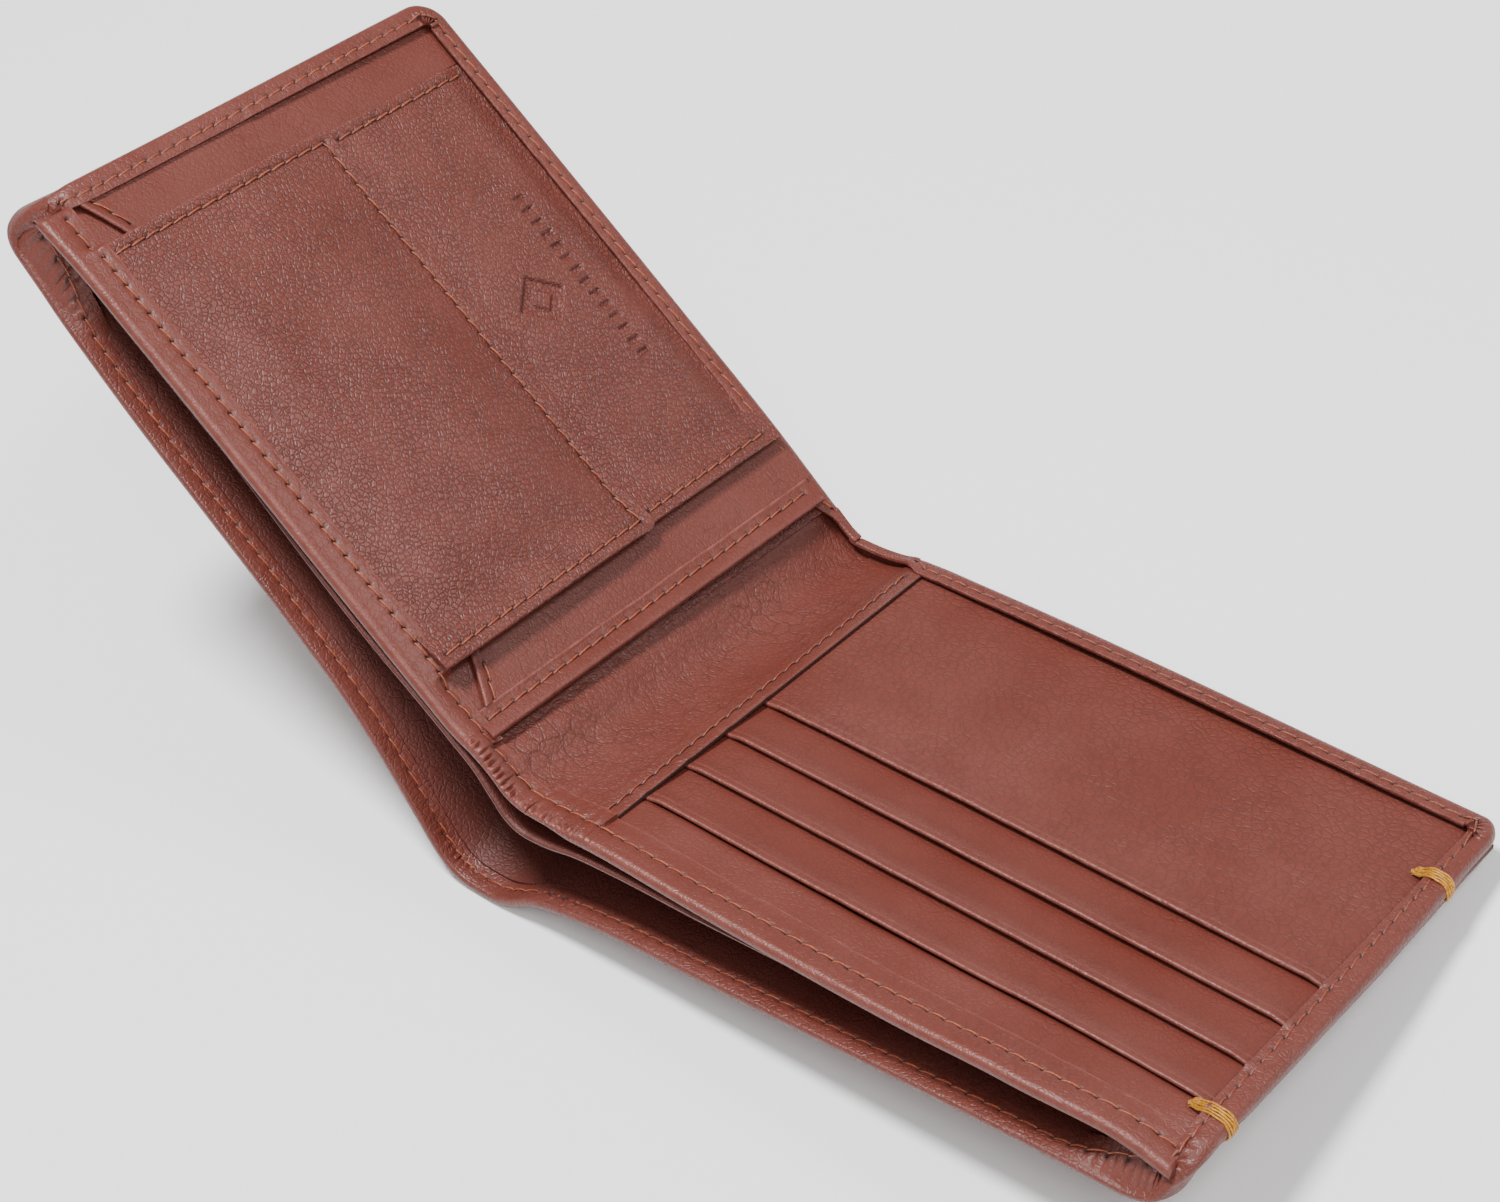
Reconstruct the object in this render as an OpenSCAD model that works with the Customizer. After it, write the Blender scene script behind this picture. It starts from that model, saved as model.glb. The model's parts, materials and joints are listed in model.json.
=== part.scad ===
// Bifold wallet, half open. Two flat halves fold about a narrow spine.
//
// Each half is drawn in its own half frame: x runs outward from the half's fold line to its outer
// end, y from the bill opening (0) to the sewn bottom edge, and z = 0 is the half's inner face.
// on_card, on_spine and on_pocket put the pieces of the three bodies in their half-open places.

/* [Halves] */
// Height, from the bill opening to the bottom seam
wallet_h = 82.5; // [78:0.5:90]
// Length of each half, from its fold line to its outer end
half_len = 107.2; // [104:0.2:110]
// Radius of the outer corners
corner_r = 5; // [4:0.5:7]

/* [Fold] */
// Angle between the two halves, counted from lying flat
open_angle = 36.3; // [34:0.1:38]
// Distance between the two fold lines
spine_w = 14; // [14:0.5:16]
// Depth of the card half's fold line under its inner face
card_fold_depth = 3.2; // [3.2:0.1:3.4]
// Depth of the pocket half's fold line under its inner face
pocket_fold_depth = 2; // [2:0.1:2.2]

/* [Leather] */
// Shell leather
shell_t = 1.1; // [0.9:0.1:1.1]
// Depth of the shell's outer face under the inner face at the sewn edges
shell_depth = 5.3; // [5.3:0.1:5.8]
// Width of the turned border at the card half's outer end
card_border_w = 5.5; // [4:0.1:6.5]
// Width of the turned border at the pocket half's outer end
pocket_border_w = 4.2; // [3.5:0.1:5]
// Width of the turned border along the bottom seam
bottom_border_w = 4.1; // [3.5:0.1:5]
// Turned border leather
border_t = 0.9; // [0.6:0.1:1]

/* [Card slots] */
// Where the gusset is sewn over the card slots, from the card half's fold line
gusset_edge = 6.7; // [6.5:0.1:7.5]
// Slot mouth furthest from the bill opening
first_slot_y = 40.4; // [39:0.2:42]
// Distance from one slot mouth to the next
slot_pitch = 9; // [8.8:0.1:9.2]

/* [Pocket half] */
// Free edge of the slip panel, from the pocket half's fold line
slip_edge = 3.7; // [3.5:0.1:4.5]
// Cover band, end nearest the spine
band_from = 16; // [15:0.5:17]
// Cover band, end nearest the outer end
band_to = 95.2; // [94:0.2:97]
// Depth of the raised patch on the band, from the bill opening
patch_h = 49.5; // [46:0.5:52]

/* [Bar tacks] */
// First bar tack, from the bill opening
tack_1_y = 67; // [60:0.5:70]
// Second bar tack, from the bill opening
tack_2_y = 12.2; // [10:0.5:16]

/* [Hidden] */
$fn = 48;

// Colours
leather = [0.53, 0.29, 0.25];
leather_dark = [0.44, 0.24, 0.20];
leather_light = [0.58, 0.34, 0.29];
cloth = [0.35, 0.22, 0.19];
thread = [0.70, 0.42, 0.28];
gold = [0.85, 0.65, 0.20];

// The shell hangs away from the inner panels along the bill opening: [distance from the fold
// line, sag at the opening]. The sag fades evenly to nothing at the bottom seam.
card_sag = [[0, 12.3], [28, 8.5], [63, 5.4], [86, 2.7], [102, 1], [half_len, 0]];
pocket_sag = [[0, 16.5], [12, 14.9], [22, 12.3], [58, 8], [96, 4.8], [102, 3.2], [half_len, 0]];
card_divider_sag = [[0, 3.5], [28, 0.6], [half_len, 0]];
pocket_divider_sag = [[0, 4], [10, 0.8], [half_len, 0]];
// Underside of the shell across the spine, [x from the card fold line, z from the card half's
// inner face], at the bill opening and at the bottom seam. Its middle stretch is the flat face
// that the wallet rests on.
spine_near = [[-6.8, -20.2], [-12.5, -22.6], [-20.4, -22.6]];
spine_far = [[-1.4, -5.5], [-6.5, -5.8], [-12, -5.8]];

// Depths of the layers under the inner face, at the sewn edges
lining_t = 0.25;
lining_depth = shell_depth - shell_t - 0.05;
divider_t = 0.6;
divider_depth = 3.85;
panel_t = 0.75;
card_panel_depth = 3.1;
pocket_panel_depth = 2;
// Clearance between bodies at the fold lines
fold_gap = 0.3;
// Inner layers start this far from a fold line, so that the gusset has room when the wallet closes
inner_from = 2.4;
// The layers inside stop short of the turned border's wall
wall_t = 1;
inside_len = half_len - wall_t - 0.1;
inside_h = wallet_h - wall_t - 0.1;
inside_r = corner_r - wall_t - 0.1;

// Card slots
slot_front_h = 13;
slot_front_t = 0.55;
slot_front_drop = 1.2;
slot_face = -0.1;
slot_from = inner_from;
tail_t = 0.15;

// Pocket half's layers, heights of their upper faces over the inner face
slip_face = -0.3;
slip_t = 0.8;
hem_w = 5;
hem_t = 0.5;
notch_face = 0.3;
notch_t = 0.5;
notch_mouth = 7.5;
notch_dip = 12;
notch_end = 0.4;
band_face = 1;
band_t = 0.6;
patch_face = 1.9;
patch_t = 0.8;
patch_overhang = 0.6;

// Seams are drawn as one flat thread; the top seam is this far from the bill opening
thread_w = 0.5;
thread_t = 0.2;
top_seam_y = 4.1;
tack_w = 1.8;
tack_t = 0.35;
tack_reach = 7.5;

// Fold lines, in the card half's frame, and the place of the whole wallet on its resting face
half_turn = open_angle / 2;
pocket_fold = [-spine_w * cos(half_turn), 0, -card_fold_depth + spine_w * sin(half_turn)];
lean = atan((spine_far[1].y - spine_near[1].y) / wallet_h);
rest_x = (spine_near[1].x + spine_near[2].x + spine_far[1].x + spine_far[2].x) / 4;
rest_z = (spine_near[1].y + spine_far[1].y) / 2;

// ---- frames ----------------------------------------------------------------------------------

module at_rest() {
    rotate([-lean, 0, 0]) translate([-rest_x, -wallet_h / 2, -rest_z]) children();
}

module on_card() {
    at_rest() children();
}

module on_spine() {
    at_rest() translate([0, 0, -card_fold_depth]) rotate([0, half_turn, 0]) children();
}

module on_pocket() {
    at_rest() translate(pocket_fold) rotate([0, open_angle, 0])
        mirror([1, 0, 0]) translate([0, 0, pocket_fold_depth]) children();
}

// ---- shapes ----------------------------------------------------------------------------------

// How far the rounded outer corners draw the edge in, at a distance q from the fold line
function corner_inset(q) =
    q < half_len - corner_r ? 0
    : corner_r - sqrt(max(0, pow(corner_r, 2) - pow(q - half_len + corner_r, 2)));

// The same for the layers inside, whose corners lie a wall's width further in
function inside_inset(q) =
    q < half_len - corner_r ? 0
    : corner_r - sqrt(max(0, pow(inside_r, 2) - pow(q - half_len + corner_r, 2)));

// Stations along a half, closer together round the outer corners
function stations(from, to) = concat(
    [for (i = [0 : 8]) from + (half_len - corner_r - from) * i / 8],
    [for (a = [20, 40, 60, 80]) half_len - corner_r + (to - half_len + corner_r) * sin(a)],
    [to]);

// A closed sheet over a grid of underside points, thickened upwards by t
module grid_sheet(rows, t) {
    nu = len(rows[0]);
    nv = len(rows);
    under = [for (row = rows) for (p = row) p];
    count = len(under);
    rim = concat(
        [for (i = [0 : nu - 1]) i],
        [for (j = [1 : nv - 1]) j * nu + nu - 1],
        [for (i = [nu - 2 : -1 : 0]) (nv - 1) * nu + i],
        [for (j = [nv - 2 : -1 : 1]) j * nu]);
    cells = [for (j = [0 : nv - 2]) for (i = [0 : nu - 2]) j * nu + i];
    polyhedron(
        points = concat(under, [for (p = under) p + [0, 0, t]]),
        faces = concat(
            [for (c = cells) [c, c + 1, c + nu]],
            [for (c = cells) [c + 1, c + nu + 1, c + nu]],
            [for (c = cells) [count + c, count + c + nu, count + c + 1]],
            [for (c = cells) [count + c + 1, count + c + nu, count + c + nu + 1]],
            [for (k = [0 : len(rim) - 1])
                [rim[k], count + rim[k], rim[(k + 1) % len(rim)]]],
            [for (k = [0 : len(rim) - 1])
                [rim[(k + 1) % len(rim)], count + rim[k], count + rim[(k + 1) % len(rim)]]]));
}

// A layer of a half that sags along the bill opening
module sagging_layer(depth, sag, t, to, y0 = 0, y1 = wallet_h, ny = 6) {
    grid_sheet([for (j = [0 : ny]) [for (q = stations(fold_gap, to))
        let (inset = to < half_len ? inside_inset(q) : corner_inset(q),
             low = max(y0, inset), high = min(y1, wallet_h - inset),
             y = low + (high - low) * j / ny)
        [q, y, -depth - lookup(q, sag) * (1 - y / wallet_h)]]], t);
}

// A layer across the spine, raised by lift over the shell's underside
module spine_layer(lift, t, y0 = 0, y1 = wallet_h) {
    grid_sheet([for (y = [y0, y1]) [for (i = [2, 1, 0])
        let (p = spine_near[i] + (spine_far[i] - spine_near[i]) * y / wallet_h)
        [p.x, y, p.y + lift]]], t);
}

// Rectangle whose corners at x1 are round
module round_end(x0, x1, y0, y1, r) {
    translate([x0, y0]) square([x1 - x0 - r, y1 - y0]);
    translate([x1 - r - 0.01, y0 + r]) square([r + 0.01, y1 - y0 - 2 * r]);
    for (y = [y0 + r, y1 - r]) translate([x1 - r, y]) circle(r);
}

// Outline of the room inside the turned border, open along the bill opening
module inside_outline(from) {
    translate([from, 0]) square([half_len - corner_r - 0.05 - from, inside_h]);
    round_end(half_len - corner_r - 1, inside_len, corner_r - inside_r, inside_h, inside_r);
}

// A flat layer, given by its outline and the height of its upper face
module layer(face, t) {
    translate([0, 0, face - t]) linear_extrude(t) children();
}

// A bar of thread lying on a face
module thread_line(x, y, w, h, face) {
    translate([x, y, face]) cube([w, h, thread_t]);
}

// ---- shell -----------------------------------------------------------------------------------

module shell_card_half() {
    color(leather) on_card() sagging_layer(shell_depth, card_sag, shell_t, half_len);
}

module shell_spine() {
    color(leather) on_card() spine_layer(0, shell_t);
}

module shell_pocket_half() {
    color(leather) on_pocket() sagging_layer(shell_depth, pocket_sag, shell_t, half_len);
}

// The shell's leather turned over the edges: a strip on the inner face and the wall outside it
module border(width) {
    from = inner_from;
    layer(border_t, border_t) difference() {
        round_end(from, half_len, 0, wallet_h, corner_r);
        translate([from - 1, -1])
            square([half_len - width - from + 1, wallet_h - bottom_border_w + 1]);
    }
    layer(0, shell_depth - shell_t) difference() {
        round_end(from, half_len, 0, wallet_h, corner_r);
        round_end(from - 1, half_len - wall_t, wall_t, wallet_h - wall_t, corner_r - wall_t);
        translate([from - 1, -1]) square([half_len - corner_r - from + 1, wallet_h / 2]);
    }
}

module border_card_half() {
    color(leather_light) on_card() border(card_border_w);
}

module border_pocket_half() {
    color(leather_light) on_pocket() border(pocket_border_w);
}

module shell_lining_card_half() {
    color(cloth) on_card()
        sagging_layer(lining_depth, card_sag, lining_t, inside_len, 1.2, inside_h);
}

module shell_lining_spine() {
    color(cloth) on_card() spine_layer(shell_t + 0.05, lining_t, 1.2, inside_h);
}

module shell_lining_pocket_half() {
    color(cloth) on_pocket()
        sagging_layer(lining_depth, pocket_sag, lining_t, inside_len, 1.2, inside_h);
}

// ---- divider of the bill compartment ---------------------------------------------------------

module divider_card_half() {
    color(leather_dark) on_card()
        sagging_layer(divider_depth, card_divider_sag, divider_t, inside_len, 0.5, inside_h);
}

module divider_spine() {
    color(leather_dark) on_spine()
        grid_sheet([for (y = [0.5, inside_h]) [for (x = [fold_gap - spine_w, -fold_gap])
            [x, y, -1 - 4 * (1 - y / wallet_h)]]], divider_t);
}

module divider_pocket_half() {
    color(leather_dark) on_pocket()
        sagging_layer(divider_depth, pocket_divider_sag, divider_t, inside_len, 0.5, inside_h);
}

// ---- inner panels and gusset -----------------------------------------------------------------

// Section of the card half's panel: a thick turned top edge, then flat under the slots
module inner_panel_card_half() {
    lip = 8;
    ramp = 4.5;
    color(leather) on_card() intersection() {
        translate([inner_from, 0, 0]) rotate([90, 0, 90]) linear_extrude(inside_len - inner_from)
            polygon([[0, -1.9], [0, -0.3], [lip, -0.3], [lip + ramp, -card_panel_depth + panel_t],
                [inside_h, -card_panel_depth + panel_t], [inside_h, -card_panel_depth],
                [lip + ramp - 0.5, -card_panel_depth], [lip - 0.5, -1.9]]);
        translate([0, 0, -10]) linear_extrude(20) inside_outline(inner_from);
    }
}

module inner_panel_pocket_half() {
    color(leather) on_pocket() layer(-pocket_panel_depth + panel_t, panel_t)
        inside_outline(inner_from);
}

module hinge_gusset() {
    color(leather_light) on_spine() translate([fold_gap - spine_w, 0, 0.8])
        cube([spine_w - 2 * fold_gap, wallet_h - 1, 1]);
}

module gusset_sewn_edge() {
    color(leather_light) on_card() translate([inner_from, 0, 0])
        cube([gusset_edge - inner_from, wallet_h - bottom_border_w - 0.1, 0.6]);
}

// ---- card slots ------------------------------------------------------------------------------

function slot_y(n) = first_slot_y - (n - 1) * slot_pitch;

slot_to = half_len - card_border_w + 3;

// A slot's leather front, its mouth high and its far end tucked under the next front
module slot_front(n) {
    on_card() translate([slot_from, slot_y(n), slot_face])
        rotate([-atan(slot_front_drop / slot_front_h), 0, 0])
            translate([0, 0, -slot_front_t]) cube([slot_to - slot_from, slot_front_h, slot_front_t]);
}

// The cloth that carries a slot's back down to the bottom seam
module slot_tail(n) {
    top = -1.65 - 0.18 * (n - 1);
    on_card() layer(top, tail_t) translate([slot_from, slot_y(n) + slot_front_h + 0.4])
        square([slot_to - slot_from, inside_h - 1 - slot_y(n) - slot_front_h - 0.4]);
}

module card_pocket_1() {
    color(leather) on_card() layer(slot_face, slot_front_t)
        translate([slot_from, first_slot_y]) square([slot_to - slot_from, inside_h - first_slot_y - 1]);
}

module card_pocket_2() { color(leather) slot_front(2); }
module card_pocket_3() { color(leather) slot_front(3); }
module card_pocket_4() { color(leather) slot_front(4); }
module card_pocket_tail_2() { color(cloth) slot_tail(2); }
module card_pocket_tail_3() { color(cloth) slot_tail(3); }
module card_pocket_tail_4() { color(cloth) slot_tail(4); }

// ---- pocket half -----------------------------------------------------------------------------

module slip_panel() {
    color(leather) on_pocket() layer(slip_face, slip_t) inside_outline(slip_edge);
}

// The slip panel's free edge, turned back over itself
module slip_panel_hem() {
    color(leather_light) on_pocket() layer(slip_face + hem_t, hem_t) translate([slip_edge, 2])
        square([hem_w, wallet_h - bottom_border_w - 2.1]);
}

notch_from = slip_edge + hem_w + 0.5;
notch_to = half_len - pocket_border_w - 0.1;
pocket_bottom = wallet_h - bottom_border_w - 0.1;

// The notch pocket's mouth dips in a shallow arc between two short straight ends
module notch_outline(inset) {
    chord = notch_to - notch_from;
    arc_r = (pow(chord / 2, 2) + pow(notch_dip, 2)) / (2 * notch_dip);
    difference() {
        translate([notch_from, notch_mouth]) square([chord, pocket_bottom - notch_mouth]);
        translate([(notch_from + notch_to) / 2, notch_mouth + notch_end + notch_dip - arc_r])
            circle(arc_r + inset, $fn = 96);
    }
}

module notch_pocket() {
    color(leather) on_pocket() layer(notch_face, notch_t) notch_outline(0);
}

module cover_band() {
    color(leather) on_pocket() layer(band_face, band_t) translate([band_from, 1])
        square([band_to - band_from, pocket_bottom - 1]);
}

module patch_pocket() {
    color(leather_light) on_pocket() layer(patch_face, patch_t)
        translate([band_from - patch_overhang, 1])
            square([band_to - band_from + 2 * patch_overhang, patch_h - 1]);
}

// ---- bar tacks -------------------------------------------------------------------------------

// Satin thread wound over the outer edge
module bar_tack(y) {
    wrap = shell_depth - 0.6;
    color(gold) on_card() {
        translate([half_len - tack_reach, y - tack_w / 2, border_t])
            cube([tack_reach + tack_t, tack_w, tack_t]);
        translate([half_len, y - tack_w / 2, -wrap]) cube([tack_t, tack_w, wrap + border_t]);
    }
}

module bar_tack_1() { bar_tack(tack_1_y); }
module bar_tack_2() { bar_tack(tack_2_y); }

// ---- seams -----------------------------------------------------------------------------------

// Thread along the middle of a turned border
module border_seam(width) {
    in_end = width / 2;
    in_bottom = bottom_border_w / 2;
    translate([0, 0, border_t]) linear_extrude(thread_t) difference() {
        round_end(inner_from, half_len - in_end, 2, wallet_h - in_bottom, corner_r - 2);
        round_end(0, half_len - in_end - thread_w, 0, wallet_h - in_bottom - thread_w, corner_r - 2.5);
    }
}

module seam_border_card_half() {
    color(thread) on_card() difference() {
        border_seam(card_border_w);
        for (y = [tack_1_y, tack_2_y]) translate([half_len - tack_reach, y - tack_w / 2 - 0.1, 0])
            cube([tack_reach, tack_w + 0.2, 3]);
    }
}

module seam_border_pocket_half() {
    color(thread) on_pocket() border_seam(pocket_border_w);
}

module seam_top_card_half() {
    color(thread) on_card()
        thread_line(gusset_edge + 0.5, top_seam_y, half_len - card_border_w - gusset_edge - 1, thread_w, -0.3);
}

module seam_top_spine() {
    color(thread) on_spine() thread_line(fold_gap - spine_w, top_seam_y, spine_w - 2 * fold_gap, thread_w, 1.8);
}

module seam_top_pocket_half() {
    color(thread) on_pocket() thread_line(band_from, top_seam_y, band_to - band_from, thread_w, patch_face);
}

// Thread on the lining, along a half's bill opening
module shell_top_seam(sag) {
    sagging_layer(lining_depth - lining_t - 0.1, sag, thread_t, inside_len - 3, 3, 3 + thread_w, 1);
}

module seam_shell_top_card_half() {
    color(thread) on_card() shell_top_seam(card_sag);
}

module seam_shell_top_spine() {
    color(thread) on_card() spine_layer(shell_t + 0.15 + lining_t, thread_t, 3, 3 + thread_w);
}

module seam_shell_top_pocket_half() {
    color(thread) on_pocket() shell_top_seam(pocket_sag);
}

module seam_gusset() {
    color(thread) on_card()
        thread_line(gusset_edge - 2.2, 6, thread_w, wallet_h - bottom_border_w - 7, 0.6);
}

module seam_slip_hem() {
    color(thread) on_pocket()
        thread_line(slip_edge + 2.8, 6, thread_w, wallet_h - bottom_border_w - 7, slip_face + hem_t);
}

module seam_notch() {
    color(thread) on_pocket() translate([0, 0, notch_face]) linear_extrude(thread_t) intersection() {
        difference() {
            notch_outline(2);
            notch_outline(2 + thread_w);
        }
        for (x = [notch_from, band_to + 0.3]) translate([x, 0]) square([band_from - notch_from - 0.3, 30]);
    }
}

module seam_band() {
    color(thread) on_pocket() for (x = [band_from + 2, band_to - 2 - thread_w])
        thread_line(x, patch_h + 1, thread_w, wallet_h - bottom_border_w - patch_h - 1.5, band_face);
}

module seam_patch() {
    color(thread) on_pocket() {
        for (x = [band_from, band_to - thread_w])
            thread_line(x, top_seam_y + 1, thread_w, patch_h - top_seam_y - 2.6, patch_face);
        thread_line(band_from, patch_h - 1.5, band_to - band_from, thread_w, patch_face);
    }
}

shell_card_half();
shell_spine();
shell_pocket_half();
border_card_half();
border_pocket_half();
shell_lining_card_half();
shell_lining_spine();
shell_lining_pocket_half();
divider_card_half();
divider_spine();
divider_pocket_half();
inner_panel_card_half();
hinge_gusset();
gusset_sewn_edge();
inner_panel_pocket_half();
card_pocket_1();
card_pocket_2();
card_pocket_3();
card_pocket_4();
card_pocket_tail_2();
card_pocket_tail_3();
card_pocket_tail_4();
slip_panel();
slip_panel_hem();
notch_pocket();
cover_band();
patch_pocket();
bar_tack_1();
bar_tack_2();
seam_border_card_half();
seam_border_pocket_half();
seam_top_card_half();
seam_top_spine();
seam_top_pocket_half();
seam_shell_top_card_half();
seam_shell_top_spine();
seam_shell_top_pocket_half();
seam_gusset();
seam_slip_hem();
seam_notch();
seam_band();
seam_patch();
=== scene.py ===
import json
import math

import bmesh
import bpy
import numpy as np
from mathutils import Matrix, Vector


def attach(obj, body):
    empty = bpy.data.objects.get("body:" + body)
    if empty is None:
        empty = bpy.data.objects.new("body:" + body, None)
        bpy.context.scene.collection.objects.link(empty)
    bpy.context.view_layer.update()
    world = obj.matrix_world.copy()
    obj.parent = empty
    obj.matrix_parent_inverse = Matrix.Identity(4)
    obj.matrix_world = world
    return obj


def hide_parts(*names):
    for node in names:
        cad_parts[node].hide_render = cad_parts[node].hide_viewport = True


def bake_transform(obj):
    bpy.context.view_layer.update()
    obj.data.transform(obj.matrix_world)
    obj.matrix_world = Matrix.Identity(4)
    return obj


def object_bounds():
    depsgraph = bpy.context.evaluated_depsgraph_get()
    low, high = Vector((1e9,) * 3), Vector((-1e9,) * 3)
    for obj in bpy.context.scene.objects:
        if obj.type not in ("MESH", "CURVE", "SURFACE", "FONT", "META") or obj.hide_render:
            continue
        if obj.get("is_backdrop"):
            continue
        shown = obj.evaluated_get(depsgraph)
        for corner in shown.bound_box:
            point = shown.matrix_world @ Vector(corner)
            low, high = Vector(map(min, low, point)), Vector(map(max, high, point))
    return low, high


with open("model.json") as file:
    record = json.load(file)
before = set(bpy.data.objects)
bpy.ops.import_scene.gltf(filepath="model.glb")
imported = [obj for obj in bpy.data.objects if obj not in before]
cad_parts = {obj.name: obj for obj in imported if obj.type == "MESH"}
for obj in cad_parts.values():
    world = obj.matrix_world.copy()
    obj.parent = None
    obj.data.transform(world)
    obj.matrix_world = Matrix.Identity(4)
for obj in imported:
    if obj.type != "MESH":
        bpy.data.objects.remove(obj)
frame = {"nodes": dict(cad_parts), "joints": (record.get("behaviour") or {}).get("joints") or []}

cad_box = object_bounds()

# ---- sizes, in millimetres ---------------------------------------------------------------------
# Each half has its own frame: q runs outward from the half's fold line, y from the bill opening
# (0) to the sewn bottom edge, and z is the height over the half's inner face.

MM = 0.001
HEIGHT = 82.5  # from the bill opening to the bottom edge
LENGTH = 107.2  # from the fold line to the outer end
CORNER = 5.0  # radius of the outer corners
CARD_FOLD_DEPTH = 3.2  # how far the card half's fold line lies under its inner face
POCKET_FOLD_DEPTH = 2.0
PITCH = 2.7  # from one needle hole to the next
SHELL = 1.1  # leather of the shell
STRIP = 0.55  # its turned edge, pared thin
EDGE_LEAST = 0.02  # a rolled edge stays this thick, so that its rim has an area
BORDER_FACE = 0.9  # height of the border's face at the outer end
BORDER_WIDE = {"card": 5.5, "pocket": 4.2}  # width of the border along the outer end
BOTTOM_BORDER = 4.1  # and along the bottom
NEAR_CORNER_DROP = 2.0  # the shell's edge comes down this far at the bill opening
OPENING_SEAM = 2.6  # seam of the shell along the bill opening
TOP_SEAM = 4.1  # seam of the inner panel's strip along the bill opening
OPENING_STRIP = {"card": 7.4, "pocket": 6.0}  # width of that strip
GUSSET_EDGE = 6.7  # q of the gusset's sewn edge on the card half
GUSSET_SEAM = GUSSET_EDGE - 2.2
SEWN = (6.9, 77.6)  # y of the gusset seam's first and last hole
SLOT_MOUTHS = (40.4, 31.4, 22.4, 13.4)
SLOT_FRONT = 13.0  # depth of the slot fronts that another one covers
LAYER_START = 4.6  # the layers on a half start here, under the strip or the gusset
LAYER_END = LENGTH - 2.4  # and end here, under the border
LAYER_BOTTOM = HEIGHT - 2.2
SLIP_EDGE = 3.7  # q of the slip panel's free edge
SLIP_SEAM = 6.6
SLIP_SEWN = (6.2, 77.4)
HEM = 4.7  # width of the slip panel's turned edge
NOTCH = (8.0, LENGTH - 3.6)  # q of the two ends of the notch pocket's mouth
EDGE_SEAM = 2.0  # seam of the notch pocket and the band, in from the edge
PATCH_SEAM = 2.1
BAND = (16.0, 95.2)  # q of the cover band's ends
BAND_SEWN = (50.8, 77.6)
BAND_SLOPE = (74, 77.8)  # the band comes down between these y
PATCH = (15.4, 95.8)  # q of the patch's ends
PATCH_END = 50.0  # y of its lower edge
PATCH_LEVEL = (1.85, 1.42)  # height of its edge, at the bill opening and at its lower edge
TACKS = (67.0, 12.2)  # y of the two bar tacks
MARK = (55.0, 61.5)  # q and y of the pressed mark's middle
MARK_HALF = 17  # half the length of its row of ticks
MARK_STEP = 2.4  # from one tick to the next


# ---- small maths -------------------------------------------------------------------------------

def smooth(a, b, x):
    """0 up to a and 1 from b on, with a soft ramp between them"""
    t = np.clip((x - a) / (b - a), 0, 1)
    return t * t * (3 - 2 * t)


def mix(a, b, t):
    return a + (b - a) * t


def peak(x, width):
    """A bell curve, 1 at x = 0"""
    return np.exp(-(x / width) ** 2)


def roll(d, r):
    """How far a rounded edge of radius r has dropped at a distance d inside it"""
    e = r - np.clip(d, 0, r)
    return r - np.sqrt(np.maximum(r * r - e * e, 0))


def profile(points, start_slope=None):
    """A smooth curve z(x) through a few points, level beyond both ends"""
    px, pz = np.array(points, float).T
    slope = np.gradient(pz, px)
    if start_slope is not None:
        slope[0] = start_slope

    def at(x):
        x = np.clip(x, px[0], px[-1])
        i = np.clip(np.searchsorted(px, x, side="right") - 1, 0, len(px) - 2)
        h = px[i + 1] - px[i]
        t = (x - px[i]) / h
        return ((2 * t**3 - 3 * t**2 + 1) * pz[i] + (t**3 - 2 * t**2 + t) * h * slope[i]
                + (3 * t**2 - 2 * t**3) * pz[i + 1] + (t**3 - t**2) * h * slope[i + 1])
    return at


def noise(x, y, seed=0):
    """Gradient noise, about -0.7 to 0.7, one bump per unit"""
    xi, yi = np.floor(x), np.floor(y)
    fx, fy = x - xi, y - yi
    u, v = fx**3 * (fx * (6 * fx - 15) + 10), fy**3 * (fy * (6 * fy - 15) + 10)

    def corner(i, j):
        turn = np.sin((xi + i) * 127.1 + (yi + j) * 311.7 + seed * 74.7) * 43758.5453
        turn = (turn - np.floor(turn)) * 2 * math.pi
        return np.cos(turn) * (fx - i) + np.sin(turn) * (fy - j)
    return mix(mix(corner(0, 0), corner(1, 0), u), mix(corner(0, 1), corner(1, 1), u), v)


def creases(x, y, seed=0):
    """Thin valleys, 0 on the flat and down to -1 along the crease lines"""
    return -peak(noise(x, y, seed), 0.09)


def spaced(values, gap):
    """The values in order, without those closer than gap to the one before"""
    values = sorted(float(v) for v in values)
    kept = [values[0]]
    for v in values[1:]:
        if v - kept[-1] > gap:
            kept.append(v)
    return np.array(kept)


def ticks(start, end, step, edge=0.0, dense=()):
    """Stations from start to end, closer together within edge of both ends and in dense stretches"""
    values = list(np.linspace(start, end, max(2, int(round((end - start) / step)) + 1)))
    if edge:
        for share in (0.03, 0.12, 0.28, 0.5, 0.75, 1.0):
            values += [start + share * edge, end - share * edge]
    for a, b, fine in dense:
        values += list(np.arange(a, b + fine / 2, fine))
    kept = spaced([v for v in values if start <= v <= end], 0.012)
    kept[-1] = end
    return kept


# ---- frames ------------------------------------------------------------------------------------

joints = {j["name"]: j for j in frame["joints"]}
along = np.array(joints["fold_card"]["axis"], float)
fold_card = np.array(joints["fold_card"]["pos_m"]) / MM
fold_pocket = np.array(joints["fold_pocket"]["pos_m"]) / MM
level = np.array([1.0, 0.0, 0.0])
upright = np.cross(level, along)
across = fold_pocket - fold_card
HALF_TURN = math.atan2(across @ upright, -(across @ level))
OPEN_SLOPE = math.tan(2 * HALF_TURN)


def turned(angle):
    """The x and z directions of the card half, turned about the fold line"""
    x = level * math.cos(angle) - upright * math.sin(angle)
    z = level * math.sin(angle) + upright * math.cos(angle)
    return x, z


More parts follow.
